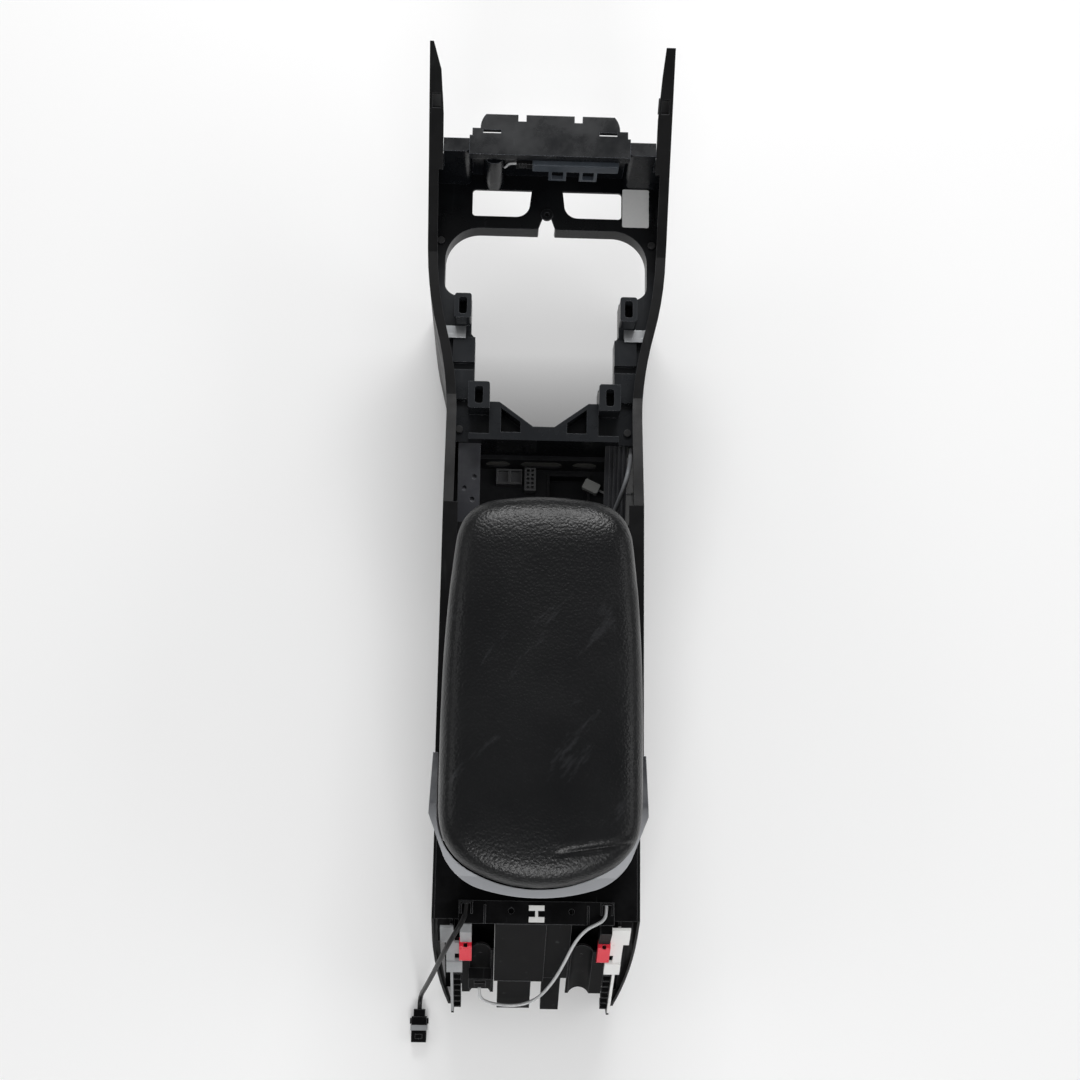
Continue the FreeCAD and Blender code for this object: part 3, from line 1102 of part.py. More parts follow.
def rounded_route(points):
    runs = [end - start for start, end in zip(points, points[1:])]
    edges, start, radii = [], points[0], []
    for index in range(1, len(points) - 1):
        before, after = runs[index - 1], runs[index]
        turn = before.getAngle(after)
        cut = CORNER_SHARE * min(before.Length, after.Length)
        radii.append(cut / math.tan(turn / 2))
        enter = points[index] - FreeCAD.Vector(before).normalize() * cut
        leave = points[index] + FreeCAD.Vector(after).normalize() * cut
        bisector = ((enter + leave) / 2 - points[index]).normalize()
        center_reach = radii[-1] / math.cos(turn / 2)
        middle = points[index] + bisector * (center_reach - radii[-1])
        edges.append(Part.LineSegment(start, enter).toShape())
        edges.append(Part.Arc(enter, middle, leave).toShape())
        start = leave
    edges.append(Part.LineSegment(start, points[-1]).toShape())
    return Part.Wire(edges), radii


def lead(label, route, radius):
    points = [FreeCAD.Vector(*point) for point in route]
    wire, radii = rounded_route(points)
    size = number(radius)
    section = Part.Wire(Part.makeCircle(size, points[0], points[1] - points[0]))
    tube = wire.makePipeShell([section], True, True)
    expected = math.pi * size * size * wire.Length
    print(label, "length", round(wire.Length, 1), "radii", [round(value, 1) for value in radii],
          "volume share", round(tube.Volume / expected, 4))
    feature = doc.addObject("Part::Feature", label)
    feature.Shape = tube
    return keep(label, feature)


HARNESS_ROUTE = [
    (-72, -399, 242), (-72, -407.5, 242), (-75, -416, 245), (-80.5, -425.5, 244), (-86.8, -435.5, 236),
    (-92.8, -446.1, 220), (-98.5, -457.1, 197), (-104.1, -468, 168), (-109.1, -477, 139),
    (-113.4, -484.5, 112), (-116.8, -490.2, 87), (-119.5, -494.7, 64), (-121.8, -498, 43),
    (-123.6, -501.2, 20.5), (-124.9, -505, 13), (-126, -511, 7.5), (-126, -519, 7.5),
]
WIRE_ROUTE = [
    (71.5, -399, 241), (71.5, -408, 241), (68.5, -414, 242.3), (61.5, -418, 244), (53, -421.8, 243.8),
    (46.5, -428.5, 231.5), (41.5, -436, 216), (37, -446, 198.5), (32.8, -456.5, 180.5), (28.2, -467, 162.5),
    (23, -477.5, 144), (15.5, -489, 124.5), (6.2, -499.3, 107), (-7, -506, 97), (-20.3, -508, 94),
    (-33.5, -507.5, 95.5), (-45, -505.5, 100), (-53.5, -502, 106), (-57.5, -496, 111.5), (-57.5, -488.2, 113),
]
SIDE_LEAD_ROUTE = [
    (99, 104, 190), (99, 95, 190), (98, 86.5, 198), (96.5, 79, 209), (94.5, 70, 218.5), (92, 58.5, 221),
    (88.5, 47.5, 214.5), (84.5, 37.5, 204), (80.5, 28, 193), (76.5, 18.5, 184), (72, 9, 178.5), (72, 0, 178.5),
]
MODULE_LEAD_ROUTE = [
    (-37, 412.5, 263.5), (-42, 412.5, 263.5), (-46, 413.2, 260), (-47.5, 414.4, 254.5), (-48.2, 415, 250.5),
    (-50.4, 415, 248),
]
AUX_LEAD_ROUTE = [
    (67.25, 70.4, 127.5), (72.7, 67.86, 127.5), (79, 66, 128.5), (87, 65.5, 130), (96, 66, 130.5),
    (105.4, 66, 130.5),
]


def rear_wire_plug():
    body = new_body("rear_wire_plug")
    left = "-duct_left - channel_radius - wire_plug_half"
    top = "wire_plug_floor + wire_plug_height"
    pad(body, "YZ", left, "2 * wire_plug_half",
        strip(top, "wire_plug_floor", "-wire_plug_off", "wire_plug_depth"))
    pad(body, "YZ", f"{left} + wire_plug_half / 2", "wire_plug_half",
        strip(f"{top} - wire_boss_drop", "wire_plug_floor + wire_boss_lift",
              "wire_plug_depth - wire_plug_off - 1", "wire_boss"))


def aux_plug():
    box = doc.addObject("Part::Box", "aux_plug_block")
    box.Placement.Rotation = FreeCAD.Rotation(FreeCAD.Vector(0, 0, 1), -SIZES["aux_turn"])
    for field, text in (("Length", "aux_length"), ("Width", "aux_width"), ("Height", "aux_height")):
        box.setExpression(field, ref(text))
    corner = ("frame_right - aux_length / 2", "frame_front - frame_depth / 2", "panel_floor_z + frame_rise")
    for axis, text in zip("xyz", corner):
        box.setExpression(f"Placement.Base.{axis}", ref(text))
    softened = doc.addObject("Part::Chamfer", "aux_plug")
    softened.Base = box
    doc.recompute()
    size = SIZES["aux_chamfer"]
    edges = enumerate(box.Shape.Edges, start=1)
    softened.Edges = [(index, size, size) for index, edge in edges if upright(edge)]
    keep("aux_plug", softened)


def plug_rect(side, low, high):
    return rect(f"-plug_x - ({side})", low, f"-plug_x + ({side})", high)


def harness_plug():
    body = new_body("harness_plug")
    height = "plug_top - plug_floor"
    neck = "-plug_front - plug_neck"
    pad(body, "XY", "plug_floor", height, plug_rect("plug_half", "-plug_rear", neck))
    pad(body, "XY", "plug_floor + plug_step", f"{height} - plug_step - 1",
        plug_rect("plug_half - plug_step", f"{neck} - 1", "-plug_front"))
    pad(body, "XY", "plug_floor", f"{height} - plug_step",
        plug_rect("plug_half + plug_step", f"{neck} - plug_neck", f"{neck} - plug_step"))
    pad(body, "XY", "plug_top - 1", "plug_step + 1",
        plug_rect("plug_latch", "-plug_rear + plug_latch", "-collar_front - collar_length - plug_latch"))
    low, high = "plug_floor + plug_step", "plug_top - plug_step"
    pocket(body, "XZ", "-plug_rear - 1", "plug_neck + 1",
           rect("-plug_x - plug_half + plug_step", low, "-plug_x - 1", high),
           rect("-plug_x + 1", low, "-plug_x + plug_half - plug_step", high))


def plug_collar():
    body = new_body("plug_collar")
    rear = "-collar_front - collar_length"
    pad(body, "XZ", rear, "collar_length",
        plug_rect("plug_half + collar_wall", "plug_floor - collar_wall", "plug_top + collar_wall"))
    pocket(body, "XZ", f"{rear} - 1", "collar_length + 2", plug_rect("plug_half", "plug_floor", "plug_top"))


def build():
    side_panels()
    deck_frame()
    screw_set("deck_screws", DECK_SCREWS, "deck_z")
    screw_set("bin_screws", BIN_SCREWS, "rim_z")
    deck_spring_clips()
    front_bridge()
    bridge_module()
    module_plug()
    bin_tub()
    socket_panel()
    socket_block()
    connector_strip()
    guide_rail("left_guide_rail", -1)
    guide_rail("right_guide_rail", 1)
    rear_frame()
    rear_duct()
    outlet_channel("left_outlet_channel", -1)
    outlet_channel("right_outlet_channel", 1)
    rear_bracket("left_rear_bracket", -1)
    rear_bracket("right_rear_bracket", 1)
    rear_post("left_rear_post", -1)
    rear_post("right_rear_post", 1)
    red_clip("left_red_clip", -1)
    red_clip("right_red_clip", 1)
    duct_h_clip()
    armrest_trim()
    hinge_base()
    hinge_pin()
    screw_set("hinge_screws", HINGE_SCREWS, "shelf_z + hinge_foot")
    hinge_bracket()
    lid_screws()
    armrest_shell()
    armrest_liner()
    armrest_cushion()
    lid_bumpers()
    harness_plug()
    plug_collar()
    lead("harness_cable", HARNESS_ROUTE, "harness_radius")
    lead("rear_wire", WIRE_ROUTE, "wire_radius")
    lead("side_lead", SIDE_LEAD_ROUTE, "side_lead_radius")
    lead("module_lead", MODULE_LEAD_ROUTE, "lead_radius")
    lead("aux_lead", AUX_LEAD_ROUTE, "lead_radius")
    aux_plug()
    rear_wire_plug()
    doc.recompute()


def check():
    for item in doc.Objects:
        if "Invalid" in item.State or "Error" in item.State:
            raise RuntimeError(f"{item.Label} failed: {item.State}")
        if item.TypeId == "PartDesign::Pocket" and item.BaseFeature is not None:
            if item.Shape.Volume > item.BaseFeature.Shape.Volume - 1e-6:
                raise RuntimeError(f"{item.Label} cuts nothing")
    for item in subparts:
        if item.Shape.isNull() or not item.Shape.isValid():
            raise RuntimeError(f"{item.Label} has no valid shape")


def export():
    os.makedirs("parts", exist_ok=True)
    for item in subparts:
        item.Shape.exportStep(f"parts/{item.Label}.step")


build()
check()
export()
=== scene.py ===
import math

import bmesh
import bpy
from mathutils import Matrix, Vector


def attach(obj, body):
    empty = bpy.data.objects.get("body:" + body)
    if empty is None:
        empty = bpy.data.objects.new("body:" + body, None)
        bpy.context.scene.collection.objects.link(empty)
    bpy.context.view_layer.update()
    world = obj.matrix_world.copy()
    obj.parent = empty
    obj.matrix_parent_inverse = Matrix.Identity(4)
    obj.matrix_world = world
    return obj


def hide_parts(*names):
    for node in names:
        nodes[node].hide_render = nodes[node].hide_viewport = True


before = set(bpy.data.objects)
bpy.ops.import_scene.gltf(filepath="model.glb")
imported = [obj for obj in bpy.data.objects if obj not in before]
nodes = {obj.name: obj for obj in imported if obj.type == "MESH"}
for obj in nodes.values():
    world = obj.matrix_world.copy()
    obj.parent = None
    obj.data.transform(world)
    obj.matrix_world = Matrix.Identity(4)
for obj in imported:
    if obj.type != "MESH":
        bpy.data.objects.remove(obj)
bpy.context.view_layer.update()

scene = bpy.context.scene
scene.view_settings.view_transform = "Standard"
mm = 0.001
print("frame loaded:", len(nodes), "CAD nodes")


# small tools

def linear(code):  # hex code to linear light, by the sRGB curve
    channels = [int(code[i:i + 2], 16) / 255 for i in (1, 3, 5)]
    curve = [c / 12.92 if c <= 0.04045 else ((c + 0.055) / 1.055) ** 2.4 for c in channels]
    return (*curve, 1.0)


def addNode(tree, kind, settings=None, inputs=None):
    # inputs go by name or number: a Mix node's factor is 0, its vectors 4 and 5, its colours 6 and 7
    node = tree.nodes.new(kind)
    for name, value in (settings or {}).items():
        setattr(node, name, value)
    for name, value in (inputs or {}).items():
        if isinstance(value, bpy.types.NodeSocket):
            tree.links.new(value, node.inputs[name])
        else:
            node.inputs[name].default_value = value
    return node


def newMaterial(name, shaderValues):
    material = bpy.data.materials.new(name)
    material.use_nodes = True
    tree = material.node_tree
    shader = tree.nodes["Principled BSDF"]
    for key, value in shaderValues.items():
        shader.inputs[key].default_value = value
    place = addNode(tree, "ShaderNodeTexCoord").outputs["Object"]
    return material, tree, shader, place


def perMm(size):  # texture scale for a feature of that size in millimetres
    return 1000 / size


def link(name, data):
    piece = bpy.data.objects.new(name, data)
    scene.collection.objects.link(piece)
    return piece


def meshFrom(name, bm):
    mesh = bpy.data.meshes.new(name)
    bm.to_mesh(mesh)
    bm.free()
    return link(name, mesh)


def finishPiece(piece, body, material, replaced=()):
    piece.data.materials.clear()
    piece.data.materials.append(material)
    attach(piece, body)
    if replaced:
        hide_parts(*replaced)
    return piece


def boxBetween(low, high):  # corners in millimetres
    size = Vector([b - a for a, b in zip(low, high)]) * mm
    middle = Vector([(a + b) / 2 for a, b in zip(low, high)]) * mm
    bm = bmesh.new()
    bmesh.ops.create_cube(bm, size=1.0)
    bmesh.ops.scale(bm, vec=size, verts=bm.verts)
    bmesh.ops.translate(bm, vec=middle, verts=bm.verts)
    return bm


def baked(piece):  # the piece's mesh with its modifiers applied
    graph = bpy.context.evaluated_depsgraph_get()
    graph.update()
    return bpy.data.meshes.new_from_object(piece.evaluated_get(graph))


# camera, in millimetres, at the photograph's view

view = {
    "spot": (-47.49, -394.67, 1879.25),
    "target": (-5.32, -37.0, 330.0),
    "lens": 52.0,
    "sensor": 36.0,  # width of the square sensor
    "roll": 7.856,  # degrees
    "clip": (0.05, 50.0),  # metres
}


def placeCamera():
    data = bpy.data.cameras.new("studioCamera")
    data.lens = view["lens"]
    data.sensor_width = view["sensor"]
    data.clip_start, data.clip_end = view["clip"]
    camera = link("studioCamera", data)
    spot = Vector(view["spot"]) * mm
    back = (spot - Vector(view["target"]) * mm).normalized()
    side = Vector((0, 0, 1)).cross(back).normalized()
    top = back.cross(side)
    turn = math.radians(view["roll"])
    right = side * math.cos(turn) + top * math.sin(turn)
    up = top * math.cos(turn) - side * math.sin(turn)
    axes = Matrix((right, up, back)).transposed()
    camera.matrix_world = Matrix.Translation(spot) @ axes.to_4x4()
    scene.camera = camera


placeCamera()
print("camera placed")


# plastics

wearAndEdgeHighlight = {
    "mottleDetail": 6.0, "mottleRoughness": 0.65, "grainDetail": 2.0, "rubDetail": 3.0,
    "rubTurn": (0.3, 0.2, 0.7), "rubDraw": (1.0, 0.12, 1.0),  # rubs run along the console
    "edgeSamples": 4, "edgeFlat": 0.985, "edgeRound": 0.86,  # cosines of the flat and rounded normal
    "dustFrom": 0.42, "dustTo": 0.72, "rubFrom": 0.66, "rubTo": 0.74,
    "shineFrom": 0.3, "shineTo": 0.7,
}


def mouldedPlastic(name, look):
    material, tree, shader, place = newMaterial(name, {
        "IOR": look["ior"], "Specular IOR Level": look["specular"]})
    mottle = addNode(tree, "ShaderNodeTexNoise", None, {
        "Vector": place, "Scale": perMm(look["mottleMm"]), "Detail": wearAndEdgeHighlight["mottleDetail"],
        "Roughness": wearAndEdgeHighlight["mottleRoughness"]}).outputs["Fac"]
    grain = addNode(tree, "ShaderNodeTexNoise", None, {
        "Vector": place, "Scale": perMm(look["grainMm"]), "Detail": wearAndEdgeHighlight["grainDetail"]})
    rubbed = addNode(tree, "ShaderNodeMapping", None, {
        "Vector": place, "Rotation": wearAndEdgeHighlight["rubTurn"], "Scale": wearAndEdgeHighlight["rubDraw"]})
    rub = addNode(tree, "ShaderNodeTexNoise", None, {
        "Vector": rubbed.outputs["Vector"], "Scale": perMm(look["rubMm"]),
        "Detail": wearAndEdgeHighlight["rubDetail"]})
    edge = addNode(tree, "ShaderNodeBevel", {"samples": wearAndEdgeHighlight["edgeSamples"]}, {
        "Radius": look["edgeMm"] * mm}).outputs["Normal"]
    flat = addNode(tree, "ShaderNodeNewGeometry").outputs["Normal"]
    along = addNode(tree, "ShaderNodeVectorMath", {"operation": "DOT_PRODUCT"}, {0: edge, 1: flat})
    # edge wear and painted highlight: rounded edges are drawn toward the pale colour, partly as wear
    # and partly as the light they catch
    wornAndLitEdge = addNode(tree, "ShaderNodeMapRange", None, {
        "Value": along.outputs["Value"], "From Min": wearAndEdgeHighlight["edgeFlat"], "From Max": wearAndEdgeHighlight["edgeRound"],
        "To Min": 0.0, "To Max": look["edgeWearAndHighlight"]})
    dusty = addNode(tree, "ShaderNodeMapRange", None, {
        "Value": mottle, "From Min": wearAndEdgeHighlight["dustFrom"], "From Max": wearAndEdgeHighlight["dustTo"],
        "To Min": 0.0, "To Max": look["dust"]})
    streak = addNode(tree, "ShaderNodeMapRange", None, {
        "Value": rub.outputs["Fac"], "From Min": wearAndEdgeHighlight["rubFrom"], "From Max": wearAndEdgeHighlight["rubTo"],
        "To Min": 0.0, "To Max": look["rubs"]})
    pale = addNode(tree, "ShaderNodeMath", {"operation": "ADD", "use_clamp": True}, {
        0: dusty.outputs["Result"], 1: streak.outputs["Result"]})
    bright = addNode(tree, "ShaderNodeMath", {"operation": "MAXIMUM"}, {
        0: pale.outputs["Value"], 1: wornAndLitEdge.outputs["Result"]})
    base = linear(look["colour"])
    if "paintedLight" in look:  # painted light: a second colour that takes over along the piece's length, painted sheen on the deck and painted shade on the trim
        paintedLight = look["paintedLight"]
        length = addNode(tree, "ShaderNodeSeparateXYZ", None, {"Vector": place}).outputs["Y"]
        paintedLightReach = addNode(tree, "ShaderNodeMapRange", None, {
            "Value": length, "From Min": paintedLight["from"] * mm, "From Max": paintedLight["to"] * mm})
        base = addNode(tree, "ShaderNodeMix", {"data_type": "RGBA"}, {
            0: paintedLightReach.outputs["Result"], 6: base, 7: linear(paintedLight["colour"])}).outputs[2]
    tone = addNode(tree, "ShaderNodeMix", {"data_type": "RGBA"}, {
        0: bright.outputs["Value"], 6: base, 7: linear(look["pale"])})
    shine = addNode(tree, "ShaderNodeMapRange", None, {
        "Value": mottle, "From Min": wearAndEdgeHighlight["shineFrom"], "From Max": wearAndEdgeHighlight["shineTo"],
        "To Min": look["rough"] - look["roughSpread"],
        "To Max": look["rough"] + look["roughSpread"]})
    bump = addNode(tree, "ShaderNodeBump", None, {
        "Height": grain.outputs["Fac"], "Normal": edge,
        "Strength": look["grainStrength"], "Distance": look["grainDepthMm"] * mm})
    tree.links.new(tone.outputs[2], shader.inputs["Base Color"])
    tree.links.new(shine.outputs["Result"], shader.inputs["Roughness"])
    tree.links.new(bump.outputs["Normal"], shader.inputs["Normal"])
    return material


plasticBase = {
    "colour": "#0b0b0c", "pale": "#5b5c5f", "mottleMm": 45, "rubMm": 9,
    "grainMm": 1.1,  # coarser than a mould's real 0.3 mm grain, so that it shows
    "edgeMm": 0.9, "edgeWearAndHighlight": 0.5, "dust": 0.02, "rubs": 0.05, "rough": 0.45, "roughSpread": 0.1,
    "ior": 1.49, "specular": 0.14, "grainStrength": 0.35, "grainDepthMm": 0.12,
}
plastics = {
    # talc-filled polypropylene, moulded with a fine eroded grain: a soft black with dusty rubs
    "grainedPolypropylene": dict(plasticBase, specular=0.18),
    # smooth ABS of the deck: a slick black with its edges lightened by wear and by painted
    # highlight, drawn greyer towards the rear as a painted sheen
    "smoothAbs": dict(plasticBase, colour="#0d0e10", pale="#6a6c70", rough=0.3, grainMm=1.8,
                      grainStrength=0.18, specular=0.2, edgeWearAndHighlight=0.6,
                      paintedLight={"from": 320, "to": 285, "colour": "#222427"}),
    # polished ABS of the bridge: a cool black with clear highlights, its edges lightened partly by
    # wear and partly by painted highlight
    "polishedAbs": dict(plasticBase, colour="#0f1114", pale="#7c8088", rough=0.28, grainMm=1.8,
                        grainStrength=0.15, specular=0.3, edgeWearAndHighlight=0.7, rubs=0.06),
    # glass-filled nylon of the rear frame, duct and plugs: deep black with bright thin edges, partly
    # wear and partly painted highlight
    "filledNylon": dict(plasticBase, colour="#09090a", pale="#8a8b8d", rough=0.5, specular=0.05,
                        dust=0.03, rubs=0.08, edgeWearAndHighlight=0.55),
    # unpainted ABS sheet of the panel below the deck and of the right rail: a dark grey
    "sheetAbs": dict(plasticBase, colour="#3b3c3f", pale="#97989b", dust=0.12),
    # grey polybutylene of socket and connector: pale rims, partly wear and partly painted highlight
    "socketPolybutylene": dict(plasticBase, colour="#8c8d90", pale="#e8e8e8", edgeWearAndHighlight=0.9,
                               dust=0.2),
    # recycled polypropylene of the left rail: mid grey
    "railPolypropylene": dict(plasticBase, colour="#54555a", pale="#97989b", dust=0.2),
    # polyester of the electronic module: bluish dark grey, matt
    "modulePolyester": dict(plasticBase, colour="#3d434a", pale="#808790", rough=0.46, dust=0.2,
                            edgeWearAndHighlight=0.6, specular=0.3),
    # natural nylon 6: milky white, slightly waxy
    "whiteNylon": dict(plasticBase, colour="#e8e8e6", pale="#f4f4f2", rough=0.38, dust=0.3,
                       rubs=0.1, specular=0.4),
    # grey nylon of the left bracket, its post and the plug's collar: mid grey, slightly waxy
    "greyNylon": dict(plasticBase, colour="#8f9193", pale="#bbbcbe", rough=0.42, dust=0.5,
                      specular=0.4),
    # off-white nylon of the loose plug: paler and a little duller
    "paleNylon": dict(plasticBase, colour="#eceeea", pale="#f6f6f4", rough=0.42, dust=0.4,
                      specular=0.4),
    # acetal coloured through in red: smooth with a soft gloss
    "redAcetal": dict(plasticBase, colour="#dc1c34", pale="#f0606c", rough=0.3, dust=0.15,
                      rubs=0.1, specular=0.4),
    # satin silver-grey paint over ABS, on the trim round the armrest: painted shade makes it dark
    # grey along its sides towards the front, where the pad shades it
    "satinGreyPaint": dict(plasticBase, colour="#b4b6ba", pale="#ced0d3", rough=0.34,
                           roughSpread=0.05, mottleMm=90, dust=0.3, rubs=0.15,
                           grainStrength=0.06, edgeMm=1.6, edgeWearAndHighlight=0.4, specular=0.5,
                           paintedLight={"from": -350, "to": -300, "colour": "#3a3b3f"}),
    # phosphate coat on the steel of the deck screws: dull black, no bare metal shows
    "phosphatedSteel": dict(plasticBase, colour="#1a1a1b", pale="#6c6d70", rough=0.5, specular=0.5),
    # nitrile rubber of the bumpers: matt, no shine
    "nitrileRubber": dict(plasticBase, colour="#101010", rough=0.75, roughSpread=0.05),
    # woven loom tape round the harness: black with rubbed threads
    "loomTape": dict(plasticBase, colour="#0c0c0d", pale="#5a5b5d", rough=0.45, grainMm=1.2,
                     grainStrength=0.6, rubs=0.3, specular=0.3),
    # silver-grey polyvinyl chloride of the single wire: smooth, with a clear highlight
    "silverPvc": dict(plasticBase, colour="#b9babb", pale="#dcddde", rough=0.33, dust=0.4,
                      rubs=0.2, specular=0.5),
    # light grey polyvinyl chloride of the short leads: smooth, less shine
    "palePvc": dict(plasticBase, colour="#c4c5c6", pale="#e2e3e4", rough=0.4, dust=0.4,
                    specular=0.4),
    # mid-grey polyvinyl chloride of the lead at the right rail: smooth, less shine
    "greyPvc": dict(plasticBase, colour="#85878a", pale="#b4b5b7", rough=0.4, dust=0.4,
                    specular=0.4),
    # open-cell polyurethane foam between the left panel and its rail: dull black
    "sealFoam": dict(plasticBase, colour="#0c0c0d", pale="#2c2c2d", rough=0.95, roughSpread=0.03,
                     specular=0.05, grainMm=0.9, grainStrength=0.9, dust=0.2),
    # grey needle felt in the panel's blind slots: dull and fibrous
    "needleFelt": dict(plasticBase, colour="#b8b8b4", pale="#cfcfcb", rough=0.95, roughSpread=0.03,
                       specular=0.05, grainMm=0.8, grainStrength=0.9, dust=0.5),
}
finishes = {name: mouldedPlastic(name, look) for name, look in plastics.items()}

steel = {
    "colour": "#e4e6e8", "dull": "#b4b7ba", "roughLeast": 0.22, "roughMost": 0.42,
    "brushMm": 0.5, "brushDraw": (1.0, 0.06, 1.0), "brushDetail": 2.0,
    "blotchMm": 12, "blotchDetail": 4.0, "edgeMm": 0.4, "edgeSamples": 4,
}


def zincPlatedSteel(name, look):  # bright zinc over spring steel, drawn lines along the strip
    material, tree, shader, place = newMaterial(name, {"Metallic": 1.0})
    drawn = addNode(tree, "ShaderNodeMapping", None, {"Vector": place, "Scale": look["brushDraw"]})
    lines = addNode(tree, "ShaderNodeTexNoise", None, {
        "Vector": drawn.outputs["Vector"], "Scale": perMm(look["brushMm"]),
        "Detail": look["brushDetail"]})
    blotch = addNode(tree, "ShaderNodeTexNoise", None, {
        "Vector": place, "Scale": perMm(look["blotchMm"]), "Detail": look["blotchDetail"]})
    tone = addNode(tree, "ShaderNodeMix", {"data_type": "RGBA"}, {
        0: blotch.outputs["Fac"], 6: linear(look["colour"]), 7: linear(look["dull"])})
    shine = addNode(tree, "ShaderNodeMapRange", None, {
        "Value": lines.outputs["Fac"], "To Min": look["roughLeast"], "To Max": look["roughMost"]})
    edge = addNode(tree, "ShaderNodeBevel", {"samples": look["edgeSamples"]}, {
        "Radius": look["edgeMm"] * mm})
    tree.links.new(tone.outputs[2], shader.inputs["Base Color"])
    tree.links.new(shine.outputs["Result"], shader.inputs["Roughness"])
    tree.links.new(edge.outputs["Normal"], shader.inputs["Normal"])
    return material


finishes["zincPlatedSteel"] = zincPlatedSteel("zincPlatedSteel", steel)

nodeFinishes = {
    "grainedPolypropylene": [
        "left_side_panel", "right_side_panel", "bin_tub", "armrest_shell", "armrest_liner"],
    "smoothAbs": ["deck_frame"],
    "polishedAbs": ["front_bridge"],
    "filledNylon": [
        "rear_frame", "rear_duct", "left_outlet_channel", "right_outlet_channel", "rear_wire_plug",
        "harness_plug", "module_plug", "right_rear_post"],
    "sheetAbs": ["socket_panel", "right_guide_rail"],
    "socketPolybutylene": ["socket_block", "connector_strip"],
    "railPolypropylene": ["left_guide_rail"],
    "modulePolyester": ["bridge_module"],
    "whiteNylon": ["right_rear_bracket", "duct_h_clip"],
    "greyNylon": ["left_rear_bracket", "left_rear_post", "plug_collar"],
    "paleNylon": ["aux_plug"],
    "redAcetal": ["left_red_clip", "right_red_clip"],
    "satinGreyPaint": ["armrest_trim"],
    "phosphatedSteel": ["deck_screws"],
    "nitrileRubber": ["lid_bumpers"],
    "zincPlatedSteel": [
        "deck_spring_clips", "bin_screws", "hinge_base", "hinge_pin", "hinge_screws",
        "hinge_bracket", "lid_screws"],
}
for finish, members in nodeFinishes.items():
    for member in members:
        nodes[member].data.materials.clear()
        nodes[member].data.materials.append(finishes[finish])
print("plastics and metals assigned")


# leads: one smooth spline each, with the route's points as control points

leads = {
    "harnessLoom": {
        "route": [
            (-72, -399, 242), (-72, -407.5, 242), (-75, -416, 245), (-80.5, -425.5, 244),
            (-86.8, -435.5, 236), (-92.8, -446.1, 220), (-98.5, -457.1, 197), (-104.1, -468, 168),
            (-109.1, -477, 139), (-113.4, -484.5, 112), (-116.8, -490.2, 87), (-119.5, -494.7, 64),
            (-121.8, -498, 43), (-123.6, -501.2, 20.5), (-124.9, -505, 13), (-126, -511, 7.5),
            (-126, -519, 7.5)],
        "radius": 2.6, "node": "harness_cable", "finish": "loomTape", "slot": "black_loom_tape"},
    "silverWire": {
        "route": [
            (71.5, -399, 241), (71.5, -408, 241), (68.5, -414, 242.3), (61.5, -418, 244),
            (53, -421.8, 243.8), (46.5, -428.5, 231.5), (41.5, -436, 216), (37, -446, 198.5),
            (32.8, -456.5, 180.5), (28.2, -467, 162.5), (23, -477.5, 144), (15.5, -489, 124.5),
            (6.2, -499.3, 107), (-7, -506, 97), (-20.3, -508, 94), (-33.5, -507.5, 95.5),
            (-45, -505.5, 100), (-53.5, -502, 106), (-57.5, -496, 111.5), (-57.5, -488.2, 113)],
        "radius": 1.7, "node": "rear_wire", "finish": "silverPvc", "slot": "silver_lead"},
    "sideLead": {
        "route": [
            (99, 104, 190), (99, 95, 190), (98, 86.5, 198), (96.5, 79, 209), (94.5, 70, 218.5),
            (92, 58.5, 221), (88.5, 47.5, 214.5), (84.5, 37.5, 204), (80.5, 28, 193),
            (76.5, 18.5, 184), (72, 9, 178.5), (72, 0, 178.5)],
        "radius": 2.6, "node": "side_lead", "finish": "greyPvc", "slot": "black_loom_tape"},
    "moduleLead": {
        "route": [
            (-37, 412.5, 263.5), (-42, 412.5, 263.5), (-46, 413.2, 260), (-47.5, 414.4, 254.5),
            (-48.2, 415, 250.5), (-50.4, 415, 248)],
        "radius": 1.4, "node": "module_lead", "finish": "palePvc", "slot": "white_nylon"},
    "auxLead": {
        "route": [
            (67.25, 70.4, 127.5), (72.7, 67.86, 127.5), (79, 66, 128.5), (87, 65.5, 130),
            (96, 66, 130.5), (105.4, 66, 130.5)],
        "radius": 1.4, "node": "aux_lead", "finish": "palePvc", "slot": "grey_nylon"},
}
leadCurve = {"bevelSteps": 5, "routeSteps": 8, "order": 3}


def layLead(name, spec):
    curve = bpy.data.curves.new(name, "CURVE")
    curve.dimensions = "3D"
    curve.bevel_depth = spec["radius"] * mm
    curve.bevel_resolution = leadCurve["bevelSteps"]
    curve.use_fill_caps = True
    curve.resolution_u = leadCurve["routeSteps"]
    spline = curve.splines.new("NURBS")
    spline.points.add(len(spec["route"]) - 1)
    for point, spot in zip(spline.points, spec["route"]):
        point.co = (*(Vector(spot) * mm), 1.0)
    spline.use_endpoint_u = True
    spline.order_u = leadCurve["order"]
    lead = link(name, curve)
    return finishPiece(lead, "console", finishes[spec["finish"]], [spec["node"]])


laid = {name: layLead(name, spec) for name, spec in leads.items()}
print("leads laid:", len(laid))


# armrest pad: foam under leatherette

leather = {
    "colour": "#08090b", "pale": "#5c5d61", "ior": 1.48, "specular": 0.36,
    "pebbleMm": 2.8, "poreMm": 0.9,  # about twice as coarse as the real grain, so that it shows
    "pebbleBlend": 0.4, "poreShare": 0.25, "poreDetail": 2.0,
    "grainStrength": 0.8, "grainDepthMm": 0.4,
    "warpMm": 7, "warpDetail": 2.0, "warpShare": 0.004,
    "scuffMm": 26, "scuffTurn": -0.7, "scuffDraw": 4.5, "scuffDetail": 7.0, "scuffRoughness": 0.7,
    "scuffFrom": 0.6, "scuffTo": 0.8, "scuffMost": 0.3,
    "cloudMm": 80, "cloudDetail": 4.0, "cloudFrom": 0.3, "cloudTo": 0.7,
    "roughLeast": 0.31, "roughMost": 0.44,
}


